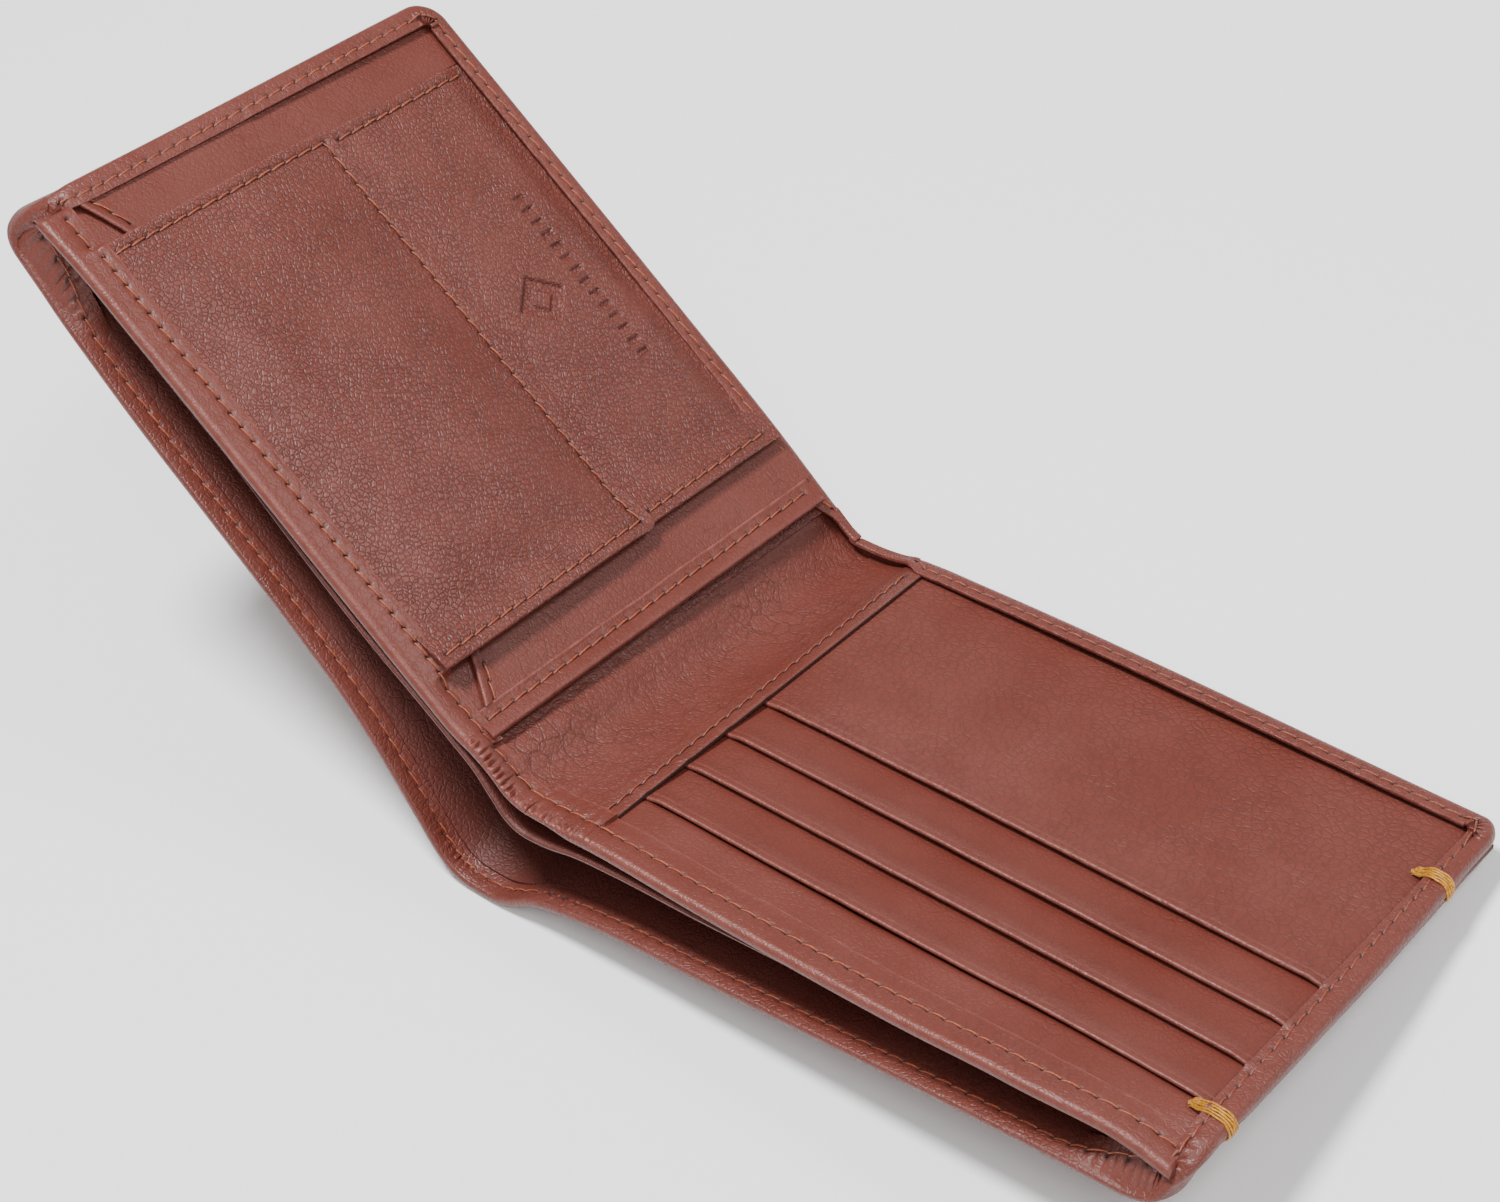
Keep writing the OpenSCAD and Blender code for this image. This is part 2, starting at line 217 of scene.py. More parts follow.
def card_shape(q, y, z):
    """The card half's outer end is pressed thin, and its end wall leans inward below its edge"""
    near = 1 - y / HEIGHT
    below = np.maximum(-z, 0)
    end_starts, end_length = 101.7, 5.5
    at_end = smooth(97, 106, q)
    narrowed = (1.25 + 0.8 * smooth(45, 80, y)) * np.clip((q - end_starts) / end_length, 0, 1.2)
    leaning = mix(0.3, 0.55, smooth(0, 14, y)) * np.clip(below - 0.9, 0, 4.5) * at_end
    q_out = q + smooth(90, end_starts, q) * (0.2 + 1.15 * near) - narrowed - leaning
    pressed = smooth(25, 104, q) * (0.25 + 0.75 * smooth(0, 70, y))
    pressed = pressed + 0.25 * at_end * (1 - smooth(0, 40, y))
    upper = np.minimum(below, 1.3)
    z_out = np.maximum(z, 0) - upper * (1 - 0.2 * pressed) - (below - upper) * (1 - 0.75 * pressed)
    return q_out, z_out


def pocket_shape(q, y, z):
    """The pocket half's outer end flares a little towards the bill opening"""
    flare = 0.42 * np.maximum(-z - 1, 0) * smooth(97, 106, q) * (1 - smooth(0, 60, y))
    return q + flare + 0.1 * np.clip((q - 103) / 4.2, 0, 1), z


class Place:
    """A half's own frame, and the way from it to the shared frame, in millimetres"""

    def __init__(self, fold, angle, depth, outward, shape):
        x, self.up = turned(angle)
        self.x = x * outward
        self.origin = fold - along * HEIGHT / 2 + self.up * depth
        self.shape = shape

    def put(self, q, y, z):
        q, y, z = np.broadcast_arrays(q, y, z)
        q, z = self.shape(q, y, z)
        return self.origin + q[..., None] * self.x + y[..., None] * along + z[..., None] * self.up


card = Place(fold_card, 0, CARD_FOLD_DEPTH, 1, card_shape)
pocket = Place(fold_pocket, 2 * HALF_TURN, POCKET_FOLD_DEPTH, -1, pocket_shape)
PLACES = {"card": card, "pocket": pocket}


# ---- mesh building -----------------------------------------------------------------------------

def grid_faces(nu, nv, first=0):
    index = first + np.arange(nu * nv).reshape(nu, nv)
    return np.stack([index[:-1, :-1], index[1:, :-1], index[1:, 1:], index[:-1, 1:]], -1).reshape(-1, 4)


def build(name, points, quads, ngons=(), wear_and_highlight=None, painted_shade=None):
    """A smooth mesh object, points in millimetres in the shared frame"""
    mesh = bpy.data.meshes.new(name)
    mesh.from_pydata((points * MM).tolist(), [], quads.tolist() + [list(f) for f in ngons])
    # Two colour attributes: lighter edges, partly wear and partly painted highlight; and painted shade in
    # needle holes and along some edges
    for label, values in (("wear_and_highlight", wear_and_highlight), ("painted_shade", painted_shade)):
        layer = mesh.attributes.new(label, "FLOAT", "POINT")
        filled = np.zeros(len(points)) if values is None else values
        layer.data.foreach_set("value", filled.astype(np.float32))
    made = bmesh.new()
    made.from_mesh(mesh)
    bmesh.ops.recalc_face_normals(made, faces=made.faces)
    made.to_mesh(mesh)
    made.free()
    mesh.shade_smooth()
    mesh.set_sharp_from_angle(angle=math.radians(70))
    piece = bpy.data.objects.new(name, mesh)
    bpy.context.scene.collection.objects.link(piece)
    return piece


def normals_of(grid, up):
    """Unit normals of a grid of points, on the side that up points to"""
    du = np.gradient(grid, axis=0)
    dv = np.gradient(grid, axis=1)
    n = np.cross(du, dv)
    n /= np.maximum(np.linalg.norm(n, axis=-1, keepdims=True), 1e-9)
    return n * np.sign((n @ up))[..., None]


def leather_sheet(name, base, up, over, under, wear_and_highlight=None, painted_shade=None):
    """A closed sheet: base is a grid of points, over and under are the heights of its two faces"""
    n = normals_of(base, up)
    over, under = np.broadcast_arrays(over, under)
    over = np.maximum(over, under + EDGE_LEAST)
    top = base + n * over[..., None]
    bottom = base + n * under[..., None]
    nu, nv = base.shape[:2]
    count = nu * nv
    index = np.arange(count).reshape(nu, nv)
    rim = np.concatenate([index[:, 0], index[-1, 1:], index[-2::-1, -1], index[0, -2:0:-1]])
    after = np.roll(rim, -1)
    walls = np.stack([rim, after, after + count, rim + count], -1)
    quads = np.concatenate([grid_faces(nu, nv), grid_faces(nu, nv, count)[:, ::-1], walls])
    both = [np.concatenate([np.broadcast_to(v, (nu, nv)).ravel()] * 2) if v is not None else None
            for v in (wear_and_highlight, painted_shade)]
    return build(name, np.concatenate([top.reshape(-1, 3), bottom.reshape(-1, 3)]), quads,
                 wear_and_highlight=both[0], painted_shade=both[1])


def tubes(name, lines, radius, up, sides=7, flat=1.0):
    """Closed tubes along lines (count, rings, 3); radius has one value a ring"""
    count, rings = lines.shape[:2]
    ahead = np.gradient(lines, axis=1)
    ahead /= np.linalg.norm(ahead, axis=-1, keepdims=True)
    side = np.cross(ahead, np.broadcast_to(up, lines.shape))
    side /= np.maximum(np.linalg.norm(side, axis=-1, keepdims=True), 1e-9)
    out = np.cross(side, ahead)
    rings_of_points = []
    for k in range(sides):
        turn = 2 * math.pi * k / sides
        spoke = side * math.cos(turn) + out * (math.sin(turn) * flat)
        rings_of_points.append(lines + radius[..., None] * spoke)
    points = np.stack(rings_of_points, 2).reshape(-1, 3)
    index = np.arange(count * rings * sides).reshape(count, rings, sides)
    a, b = index[:, :-1], index[:, 1:]
    quads = np.stack([a, np.roll(a, -1, 2), np.roll(b, -1, 2), b], -1).reshape(-1, 4)
    caps = [cap for tube in index for cap in (tube[0][::-1], tube[-1])]
    return build(name, points, quads, caps)


# ---- seams -------------------------------------------------------------------------------------

class Seam:
    """Needle holes along one line of stations: where they are, and the dip they leave"""

    def __init__(self, positions, start=None, end=None, pitch=PITCH):
        start = positions[0] if start is None else start
        end = positions[-1] if end is None else end
        count = max(2, int(round((end - start) / pitch)) + 1)
        wanted = np.linspace(start, end, count)
        self.stations = np.unique([int(np.argmin(abs(positions - w))) for w in wanted])
        self.holes = positions[self.stations]
        self.start, self.end = start, end

    def nearest(self, s):
        gap = np.abs(np.asarray(s)[..., None] - self.holes)
        return gap.min(-1)

    def inside(self, s):
        return smooth(self.start - 1, self.start, s) * (1 - smooth(self.end, self.end + 1, s))

    def dip(self, s, off, trough=0.16, hole=0.34):
        """Depth of the leather's pull along the seam, off millimetres beside it"""
        near = self.nearest(s)
        line = trough * peak(off, 0.75) * (0.55 + 0.45 * peak(near, 0.8))
        return self.inside(s) * (line + hole * peak(off, 0.26) * peak(near, 0.3))

    # Painted shade in and round the needle holes, darkest at each hole
    def painted_shade(self, s, off):
        return self.inside(s) * peak(off, 0.36) * peak(self.nearest(s), 0.42)


def hole_ticks(start, end, pitch=PITCH):
    """Stations along a seam: five round each needle hole and two on each stitch"""
    count = max(1, int(round((end - start) / pitch)))
    step = (end - start) / count
    offsets = (-0.34, -0.17, 0.0, 0.17, 0.34, step * 0.36, step * 0.5, step * 0.64)
    return [start + i * step + o for i in range(count + 1) for o in offsets]


SEAM_ROWS = (-0.7, -0.4, -0.2, 0.0, 0.2, 0.4, 0.7)


def seam_rows(at):
    """Stations across a seam that lies at at"""
    return [at + offset for offset in SEAM_ROWS]


def merged(*lists, gap=0.09):
    """The stations of all the lists, without those too close to the one before"""
    return spaced([v for part in lists for v in part], gap)


def stitches(name, holes, up, thread="thread", slant=0.15, radius=0.15, lift=0.13, sink=0.25):
    """One short thread from each needle hole to the next, bowed over the leather"""
    holes = np.asarray(holes, float)
    up = np.broadcast_to(up, holes.shape)
    ahead = holes[1:] - holes[:-1]
    beside = np.cross(ahead, up[:-1])
    beside /= np.linalg.norm(beside, axis=-1, keepdims=True)
    t = np.array([0.03, 0.1, 0.2, 0.35, 0.5, 0.65, 0.8, 0.9, 0.97])[None, :, None]
    start = holes[:-1, None] + beside[:, None] * slant
    end = holes[1:, None] - beside[:, None] * slant
    bow = np.sin(math.pi * t) ** 0.55 * (lift + sink) - sink
    wobble = 0.04 * np.sin(np.arange(len(ahead)) * 2.4)[:, None, None]
    lines = start + (end - start) * t + up[:-1, None] * bow
    lines = lines + beside[:, None] * wobble * np.sin(math.pi * t)
    thick = radius * np.minimum(1, 0.55 + 1.4 * np.sin(math.pi * t[..., 0]))
    piece = tubes(name, lines, np.broadcast_to(thick, lines.shape[:2]), up[:-1, None], flat=0.8)
    finish_piece(piece, thread)
    return piece


def sew(name, holes, side, cad, thread="thread", **how):
    """Stitches that ride on one half and stand for a CAD seam"""
    made = stitches(name, holes, PLACES[side].up, thread, **how)
    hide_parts(cad)
    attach(made, side + "_half")


# ---- materials ---------------------------------------------------------------------------------

class Nodes:
    """A short way to write a node tree"""

    def __init__(self, name):
        self.material = bpy.data.materials.new(name)
        self.material.use_nodes = True
        self.tree = self.material.node_tree
        self.tree.nodes.clear()

    def add(self, kind, inputs=None, **settings):
        made = self.tree.nodes.new("ShaderNode" + kind)
        for key, value in settings.items():
            setattr(made, key, value)
        for key, value in (inputs or {}).items():
            if isinstance(value, bpy.types.NodeSocket):
                self.tree.links.new(value, made.inputs[key])
            else:
                made.inputs[key].default_value = value
        return made

    def math(self, operation, a, b=0.0):
        return self.add("Math", {0: a, 1: b}, operation=operation).outputs[0]

    def noise(self, coords, scale, detail=2.0, rough=0.5):
        values = {"Vector": coords, "Scale": scale, "Detail": detail, "Roughness": rough}
        return self.add("TexNoise", values).outputs["Fac"]

    def range(self, value, a, b, c, d, kind="LINEAR"):
        values = {"Value": value, "From Min": a, "From Max": b, "To Min": c, "To Max": d}
        return self.add("MapRange", values, interpolation_type=kind).outputs["Result"]

    def blend(self, kind, share, a, b):
        made = self.add("Mix", {"Factor": share, 6: a, 7: b}, data_type="RGBA", blend_type=kind)
        return made.outputs[2]

    def attribute(self, name):
        return self.add("Attribute", attribute_name=name).outputs["Fac"]


def rgb(r, g, b):
    """Linear colour from sRGB 0 to 255"""
    part = [v / 255 for v in (r, g, b)]
    return tuple([v / 12.92 if v < 0.04 else ((v + 0.055) / 1.055) ** 2.4 for v in part] + [1.0])


def leather(name, colour, cell=0.9, grain=1.0, creased=1.0, rough=0.4):
    """Corrected leather: small pebbles, soft creases, lighter edges (partly wear, partly painted
    highlight on rolled edges) and painted shade in needle holes and along some edges
    """
    n = Nodes(name)
    coords = n.add("TexCoord").outputs["Object"]
    wander = n.add("TexNoise", {"Vector": coords, "Scale": 700.0, "Detail": 2.0}).outputs["Color"]
    warp = n.add("VectorMath", {0: wander, 3: 0.0007}, operation="SCALE").outputs[0]
    bent = n.add("VectorMath", {0: coords, 1: warp}, operation="ADD").outputs[0]
    cells = n.add("TexVoronoi", {"Vector": bent, "Scale": 1000 / cell}, feature="DISTANCE_TO_EDGE")
    pebble = n.range(cells.outputs["Distance"], 0.0, 0.2, 0.0, 1.0, "SMOOTHSTEP")
    pebble_share = n.range(n.noise(coords, 150.0, 2.0), 0.35, 0.65, 0.6 * grain, grain)
    plates = n.add("TexVoronoi", {"Vector": bent, "Scale": 330.0}, feature="DISTANCE_TO_EDGE")
    line = n.range(plates.outputs["Distance"], 0.0, 0.1, 0.0, 1.0, "SMOOTHSTEP")
    line_share = n.range(n.noise(coords, 70.0, 2.0), 0.42, 0.66, 0.0, creased)
    hollow = n.math("MULTIPLY", n.math("SUBTRACT", 1.0, pebble), pebble_share)
    valley = n.math("MULTIPLY", n.math("SUBTRACT", 1.0, line), line_share)
    pores = n.noise(coords, 3000.0, 2.0, 0.6)
    height = n.math("SUBTRACT", n.math("MULTIPLY", pores, 0.3), n.math("MULTIPLY", hollow, 0.62))
    height = n.math("SUBTRACT", height, n.math("MULTIPLY", valley, 0.4))
    height = n.math("ADD", height, n.math("MULTIPLY", n.noise(coords, 1300.0, 2.0), 0.14 * grain))
    bump = n.add("Bump", {"Height": height, "Strength": 0.9, "Distance": 0.00019}).outputs[0]

    patches = n.noise(coords, 60.0, 3.0, 0.55)
    deep = tuple([v * 0.55 for v in colour[:3]] + [1.0])
    light = tuple([min(1, v * 1.2 + 0.008) for v in colour[:3]] + [1.0])
    pale = tuple([min(1, v * 1.9 + 0.03) for v in colour[:3]] + [1.0])
    tone = n.blend("MIX", n.range(patches, 0.3, 0.7, 0.0, 0.6), colour, light)
    tone = n.blend("MIX", n.math("MULTIPLY", hollow, 0.8), tone, deep)
    tone = n.blend("MIX", n.math("MULTIPLY", valley, 0.42), tone, deep)
    # Lighter edges: real wear on raw edges, painted highlight along rolled edges, lips and crease lines
    lightening_patches = n.range(n.noise(coords, 500.0), 0.35, 0.65, 0.35, 1.0)
    wear_and_highlight_share = n.math("MULTIPLY", n.attribute("wear_and_highlight"), lightening_patches)
    tone = n.blend("MIX", wear_and_highlight_share, tone, pale)
    # Painted shade: blends the colour towards near black in needle holes and along some edges
    painted_shade = n.attribute("painted_shade")
    tone = n.blend("MIX", painted_shade, tone, (0.010, 0.004, 0.003, 1.0))
    shine = n.range(patches, 0.3, 0.7, rough - 0.04, rough + 0.06)
    shine = n.math("ADD", shine, n.math("MULTIPLY", hollow, 0.12))
    shine = n.math("ADD", shine, n.math("MULTIPLY", painted_shade, 0.5))
    shader = n.add("BsdfPrincipled", {
        "Base Color": tone, "Roughness": shine, "Normal": bump, "Specular IOR Level": 0.42})
    n.add("OutputMaterial", {"Surface": shader.outputs[0]})
    return n.material


def yarn(name, colour, dark_colour, rough):
    """Twisted thread"""
    n = Nodes(name)
    coords = n.add("TexCoord").outputs["Object"]
    strands = n.noise(coords, 3600.0, 3.0, 0.6)
    shade = n.range(strands, 0.3, 0.7, 0.0, 1.0)
    tone = n.blend("MIX", shade, dark_colour, colour)
    tone = n.blend("MIX", n.range(n.noise(coords, 240.0), 0.35, 0.7, 0.0, 0.5), tone, dark_colour)
    bump = n.add("Bump", {"Height": strands, "Strength": 0.5, "Distance": 0.0001}).outputs[0]
    shader = n.add("BsdfPrincipled", {
        "Base Color": tone, "Roughness": rough, "Normal": bump, "Sheen Weight": 0.08})
    n.add("OutputMaterial", {"Surface": shader.outputs[0]})
    return n.material


def cloth(name, colour):
    """Plain woven lining cloth"""
    n = Nodes(name)
    coords = n.add("TexCoord").outputs["Object"]
    warp = n.add("TexWave", {"Vector": coords, "Scale": 900.0, "Distortion": 1.0}, bands_direction="X")
    weft = n.add("TexWave", {"Vector": coords, "Scale": 900.0, "Distortion": 1.0}, bands_direction="Y")
    weave = n.math("MULTIPLY", warp.outputs["Fac"], weft.outputs["Fac"])
    lighter = tuple([v * 1.7 for v in colour[:3]] + [1.0])
    tone = n.blend("MIX", weave, colour, lighter)
    bump = n.add("Bump", {"Height": weave, "Strength": 0.5, "Distance": 0.0001}).outputs[0]
    shader = n.add("BsdfPrincipled", {"Base Color": tone, "Roughness": 0.85, "Normal": bump})
    n.add("OutputMaterial", {"Surface": shader.outputs[0]})
    return n.material


BASE = rgb(95, 43, 34)
MATERIALS = {
    "shell_leather": leather("shell_leather", BASE, grain=0.5, creased=0.25, rough=0.4),
    "panel_leather": leather("panel_leather", BASE, cell=0.8, grain=1.0, creased=0.6, rough=0.41),
    "slot_leather": leather("slot_leather", BASE, grain=0.3, creased=0.4, rough=0.4),
    "blank_leather": leather("blank_leather", BASE, cell=1.3, grain=0.5, creased=0.4, rough=0.43),
    "gusset_leather": leather("gusset_leather", BASE, grain=0.5, creased=1.0, rough=0.42),
    # The divider's colour is darker than BASE: painted shade of the gap it sits in
    "divider_leather": leather("divider_leather", rgb(80, 34, 27), grain=0.4, creased=0.3, rough=0.48),
    # A little darker than BASE: painted shade of the shell's inside
    "lining_leather": leather("lining_leather", rgb(88, 39, 31), grain=0.5, creased=0.8, rough=0.5),
    "pocket_cloth": cloth("pocket_cloth", rgb(70, 44, 38)),
    "thread": yarn("thread", rgb(176, 88, 48), rgb(96, 40, 22), 0.5),
    "border_thread": yarn("border_thread", rgb(152, 76, 50), rgb(84, 34, 22), 0.45),
    "gold_thread": yarn("gold_thread", rgb(222, 154, 2), rgb(122, 70, 0), 0.32),
}


def finish_piece(piece, material):
    piece.data.materials.append(MATERIALS[material])


def with_spine(stem, side):
    """The CAD nodes that a piece stands for: the card half's piece also stands for the spine's"""
    return [f"{stem}_{side}_half"] + ([f"{stem}_spine"] if side == "card" else [])


# ---- how the halves curve ----------------------------------------------------------------------
# Each profile gives z at a few q. A split holds the q of the spine's middle, where the two halves'
# pieces meet, at the bill opening and at the bottom seam.

# Outer face of the shell along the bill opening, and along the bottom seam
SHELL_NEAR = {
    "card": profile([(-16.45, -22.6), (-13, -22.4), (-9, -20.9), (-5.6, -18.9), (0, -17.2), (5.7, -16.2),
                     (27.3, -14.2), (62.6, -11.9), (86.1, -10.6), (101.8, -9.7), (LENGTH, -9.1)], 0.0),
    "pocket": profile([(-11.53, -23.0), (-8.4, -24.9), (-5.5, -25.6), (-2.5, -25.3), (4, -23.4),
                       (12.3, -20.8), (21.8, -18.5), (39, -16.7), (61.9, -15.5), (73, -15.0),
                       (84.7, -14.0), (96, -12.6), (102.2, -11.2), (LENGTH, -9.8)], -OPEN_SLOPE),
}
SHELL_FAR = {
    "card": profile([(-9.25, -5.8), (-4, -5.75), (1, -5.4), (6, -5.3), (LENGTH, -5.3)], 0.0),
    "pocket": profile([(-7.39, -5.21), (-5.2, -6.6), (-2.5, -6.6), (2, -5.7), (6, -5.3),
                       (LENGTH, -5.3)], -OPEN_SLOPE),
}
# Top of the border along the bottom seam
FAR_TOP = {
    "card": profile([(-9.25, -0.7), (-4, -0.6), (-0.2, -0.1), (2.2, 0.6), (6, 1.0), (15, 1.3),
                     (LENGTH, 1.3)], 0.0),
    "pocket": profile([(-7.39, -0.1), (-5.2, -0.7), (1.6, -0.8), (6, -0.5), (15.4, 0.2), (42.5, 0.9),
                       (81.4, 1.4), (LENGTH, 1.6)], -OPEN_SLOPE),
}
SHELL_SPLIT = {"card": (-16.45, -9.25), "pocket": (-11.53, -7.39)}
SHELL_CURVES = (SHELL_NEAR, SHELL_FAR, SHELL_SPLIT)

# Divider of the bill compartment, along the bill opening and along the bottom seam
DIVIDER_NEAR = {
    "card": profile([(-5.6, -4.9), (-1.5, -4.6), (3.9, -3.4), (12, -2.6), (28, -2.0),
                     (LENGTH, -2.2)], 0.0),
    "pocket": profile([(-9.8, -2.3), (-6.4, -3.4), (-2.7, -2.7), (1.5, -1.7), (8, -1.5), (30, -2.0),
                       (LENGTH, -2.4)], -OPEN_SLOPE),
}
DIVIDER_FAR = {
    "card": profile([(-5.6, -4.3), (0, -4.2), (6, -3.6), (20, -3.3), (LENGTH, -3.3)], 0.0),
    "pocket": profile([(-9.44, -1.84), (-5, -4.4), (0, -4.4), (5, -3.6), (15, -3.3), (LENGTH, -3.3)],
                      -OPEN_SLOPE),
}
DIVIDER_CURVES = (DIVIDER_NEAR, DIVIDER_FAR, {"card": (-5.6, -5.6), "pocket": (-9.8, -9.44)})

# Gusset between the two inner panels
GUSSET_NEAR = {
    "card": profile([(-4.5, 0.35), (-1.3, 0.25), (3, 0.4), (GUSSET_EDGE, 0.6)], -0.03),
    "pocket": profile([(-7.57, 2.56), (-4.2, 0.9), (0, 0.7), (3.5, -0.6), (8, -1.3)], -OPEN_SLOPE),
}
GUSSET_FAR = {
    "card": profile([(-7, -3.0), (-3, -2.6), (0, -1.6), (3, 0.1), (4.5, 0.5), (GUSSET_EDGE, 0.6)], 0.0),
    "pocket": profile([(-7.78, -1.95), (-6, -3.0), (-2.5, -3.5), (1.6, -2.7), (4, -1.6), (8, -1.4)],
                      -OPEN_SLOPE),
}
GUSSET_SPLIT = {"card": (-4.5, -7.0), "pocket": (-7.57, -7.78)}
GUSSET_CURVES = (GUSSET_NEAR, GUSSET_FAR, GUSSET_SPLIT)

# Upper face of the turned strip along the bill opening
STRIP_NEAR = {
    "card": profile([(-4.5, 0.8), (-1.3, 0.75), (8, 1.15), (28, 0.7), (62.8, 0.9), (81.5, 1.9),
                     (94.9, 1.4), (103, 0.6)], -0.03),
    "pocket": profile([(-7.3, 2.95), (-4.2, 1.7), (-1, 1.9), (3.4, 2.4), (8, 1.6), (14.3, 1.5),
                       (32.7, 1.6), (81.1, 1.9), (96, 1.5), (103, 0.7)], -OPEN_SLOPE),
}


def card_lift(q, y):
    """The card half's inner panel bows up a little along the bill opening"""
    return (STRIP_NEAR["card"](q) - 0.7) * (1 - smooth(0, 26, y)) * smooth(0, 12, q)


def corner_pull(side, q, y):
    """The card half's layers are drawn down where the border closes over their outer corner"""
    return (1.3 if side == "card" else 0.0) * (1 - smooth(0, 11, np.hypot(q - 105, y - 1.0)))


def draw_in(side, q, y):
    """The opening's edge runs back towards the border at the card half's outer end"""
    return (1.4 if side == "card" else 0.0) * smooth(80, 101, q) * (1 - smooth(0, 16, y))


def outline_gap(q, y):
    """Distance inside the half's outline, whose outer corners are round"""
    dx = q - (LENGTH - CORNER)
    dy = np.abs(y - HEIGHT / 2) - (HEIGHT / 2 - CORNER)
    outside = np.hypot(np.maximum(dx, 0), np.maximum(dy, 0))
    return CORNER - outside - np.minimum(np.maximum(dx, dy), 0)


def corner_inset(q):
    """How far the round corners draw the outline in from the half's long edges"""
    dx = np.clip(q - (LENGTH - CORNER), 0, CORNER)
    return CORNER - np.sqrt(CORNER**2 - dx**2)


# ---- shell -------------------------------------------------------------------------------------

# Middle of the near outer corner's pleats (q, y, z), and how far along the end the border dips
FAN = {"card": (101.2, 3.3, -1.6, 9.0), "pocket": (103.4, 2.8, -3.4, 7.0)}
FAN_RADIUS = 0.4
BEND = LENGTH - CORNER


def ruled(side, curves, xs, y):
    """Points and normals (in q, z) of a surface ruled from its near curve to its far curve"""
    near, far, split = curves
    shift = split[side][1] - split[side][0]
    xf = xs + shift * (1 - smooth(split[side][0] + 3, 16, xs))
    zn, zf = near[side](xs), far[side](xf)
    steps = [np.stack([-np.gradient(z, x), np.ones_like(x)], -1) for x, z in ((xs, zn), (xf, zf))]
    n0, n1 = [s / np.linalg.norm(s, axis=-1, keepdims=True) for s in steps]
    share = (y / HEIGHT)[..., None]
    near_points = np.stack([xs, zn], -1)[:, None]
    far_points = np.stack([xf, zf], -1)[:, None]
    points = mix(near_points, far_points, share)
    n = mix(n0[:, None], n1[:, None], share)
    n = mix(n, np.array([0.0, 1.0]), smooth(80, 100, xs)[:, None, None])
    return points, n / np.linalg.norm(n, axis=-1, keepdims=True)


def raw_edge(side, q, y, is_far):
    """Where the turned border's raw edge lies for each point of the rim.

    The bottom, the far corner, the near corner, the bill opening and the outer end each have
    their own line. Also returned: which points belong to the near corner and the opening, and
    the angle round each corner.
    """
    fan_q, fan_y, _, _ = FAN[side]
    radius = 0.6
    corner_q = LENGTH - BORDER_WIDE[side] - radius
    corner_y = HEIGHT - BOTTOM_BORDER - radius
    spine_bottom = is_far * (1 - smooth(0.5, 5, q))
    far_angle = np.arctan2(y - (HEIGHT - CORNER), np.maximum(q - BEND, 0))
    near_angle = np.arctan2(CORNER - y, np.maximum(q - BEND, 0))
    on_bottom = is_far & (q <= BEND)
    on_far_arc = is_far & (q > BEND) & (y > HEIGHT - CORNER + 1e-6)
    on_near_arc = ~is_far & (q > BEND) & (y < CORNER - 1e-6)
    on_opening = ~is_far & (q <= BEND)
    where = [on_bottom, on_far_arc, on_near_arc, on_opening]
    bottom_q = q - (BEND - corner_q) * smooth(BEND - 25, BEND, q)
    opening_q = q + (fan_q - BEND) * smooth(BEND - 12, BEND, q)
    end_q = mix(corner_q + radius, fan_q + FAN_RADIUS, 1 - smooth(CORNER, 11, y))
    end_y = mix(fan_y, corner_y, (y - CORNER) / (HEIGHT - 2 * CORNER))
    opening_y = mix(3.0, 5.4, 1 - smooth(88, BEND, q))
    raw_q = np.select(where, [bottom_q, corner_q + radius * np.cos(far_angle),
                              fan_q + FAN_RADIUS * np.cos(near_angle), opening_q], end_q)
    raw_y = np.select(where, [HEIGHT - mix(BOTTOM_BORDER, 2.2, spine_bottom),
                              corner_y + radius * np.sin(far_angle),
                              fan_y - FAN_RADIUS * np.sin(near_angle), opening_y], end_y)
    return raw_q, raw_y, on_near_arc, on_opening, far_angle, near_angle


def shell_grid(side):
    """A grid over the outer face of one half and half the spine.

    Returned: its points and normals in q and z, its y, how far the round corners draw it in,
    how far each point's edge is sewn down, the radius of that edge, and the heights of the
    leather's outer and inner faces over the grid.
    """
    first = SHELL_SPLIT[side][0]
    arc = BEND + CORNER * np.sin(np.radians(np.arange(0, 90.5, 2.5)))
    xs = np.concatenate([ticks(first, BEND, 0.45, dense=[(BEND - 14, BEND, 0.2)])[:-1], arc])
    v = ticks(0, HEIGHT - 2 * CORNER, 0.45, 2.0) / (HEIGHT - 2 * CORNER)
    low = corner_inset(xs)[:, None]
    y = low + (HEIGHT - 2 * low) * v
    flat, n = ruled(side, SHELL_CURVES, xs, y)
    q = flat[..., 0]
    gap = outline_gap(q, y)
    round_q, round_y = np.maximum(q - BEND, 1e-6), np.maximum(CORNER - y, 0)
    sewn = 1 - smooth(0, 90, np.degrees(np.arctan2(round_y, round_q)))
    open_r, sewn_r, spine_r = 0.85, 2.1, 1.0
    edge_r = mix(open_r, sewn_r, sewn)
    edge_r = np.where(y > HEIGHT / 2, mix(spine_r, sewn_r, smooth(-2, 6, q)), edge_r)
    soft = noise(q / 21, y / 26, 3) * 0.5 + noise(q / 7, y / 17, 5) * 0.16
    spine_folds = noise(q / 1.7, y / 14, 8) * 0.32 + creases(q / 3.2, y / 22, 9) * 0.16
    spine_folds = peak(q + 3, 9) * spine_folds
    swell = (soft + spine_folds) * smooth(0, 9, gap) * smooth(first, first + 4, xs)[:, None]
    outer = roll(gap, edge_r) + swell
    inner = SHELL - 0.02 + swell  # just under the end of the turned edge
    return flat, n, y, low, sewn, edge_r, outer, inner


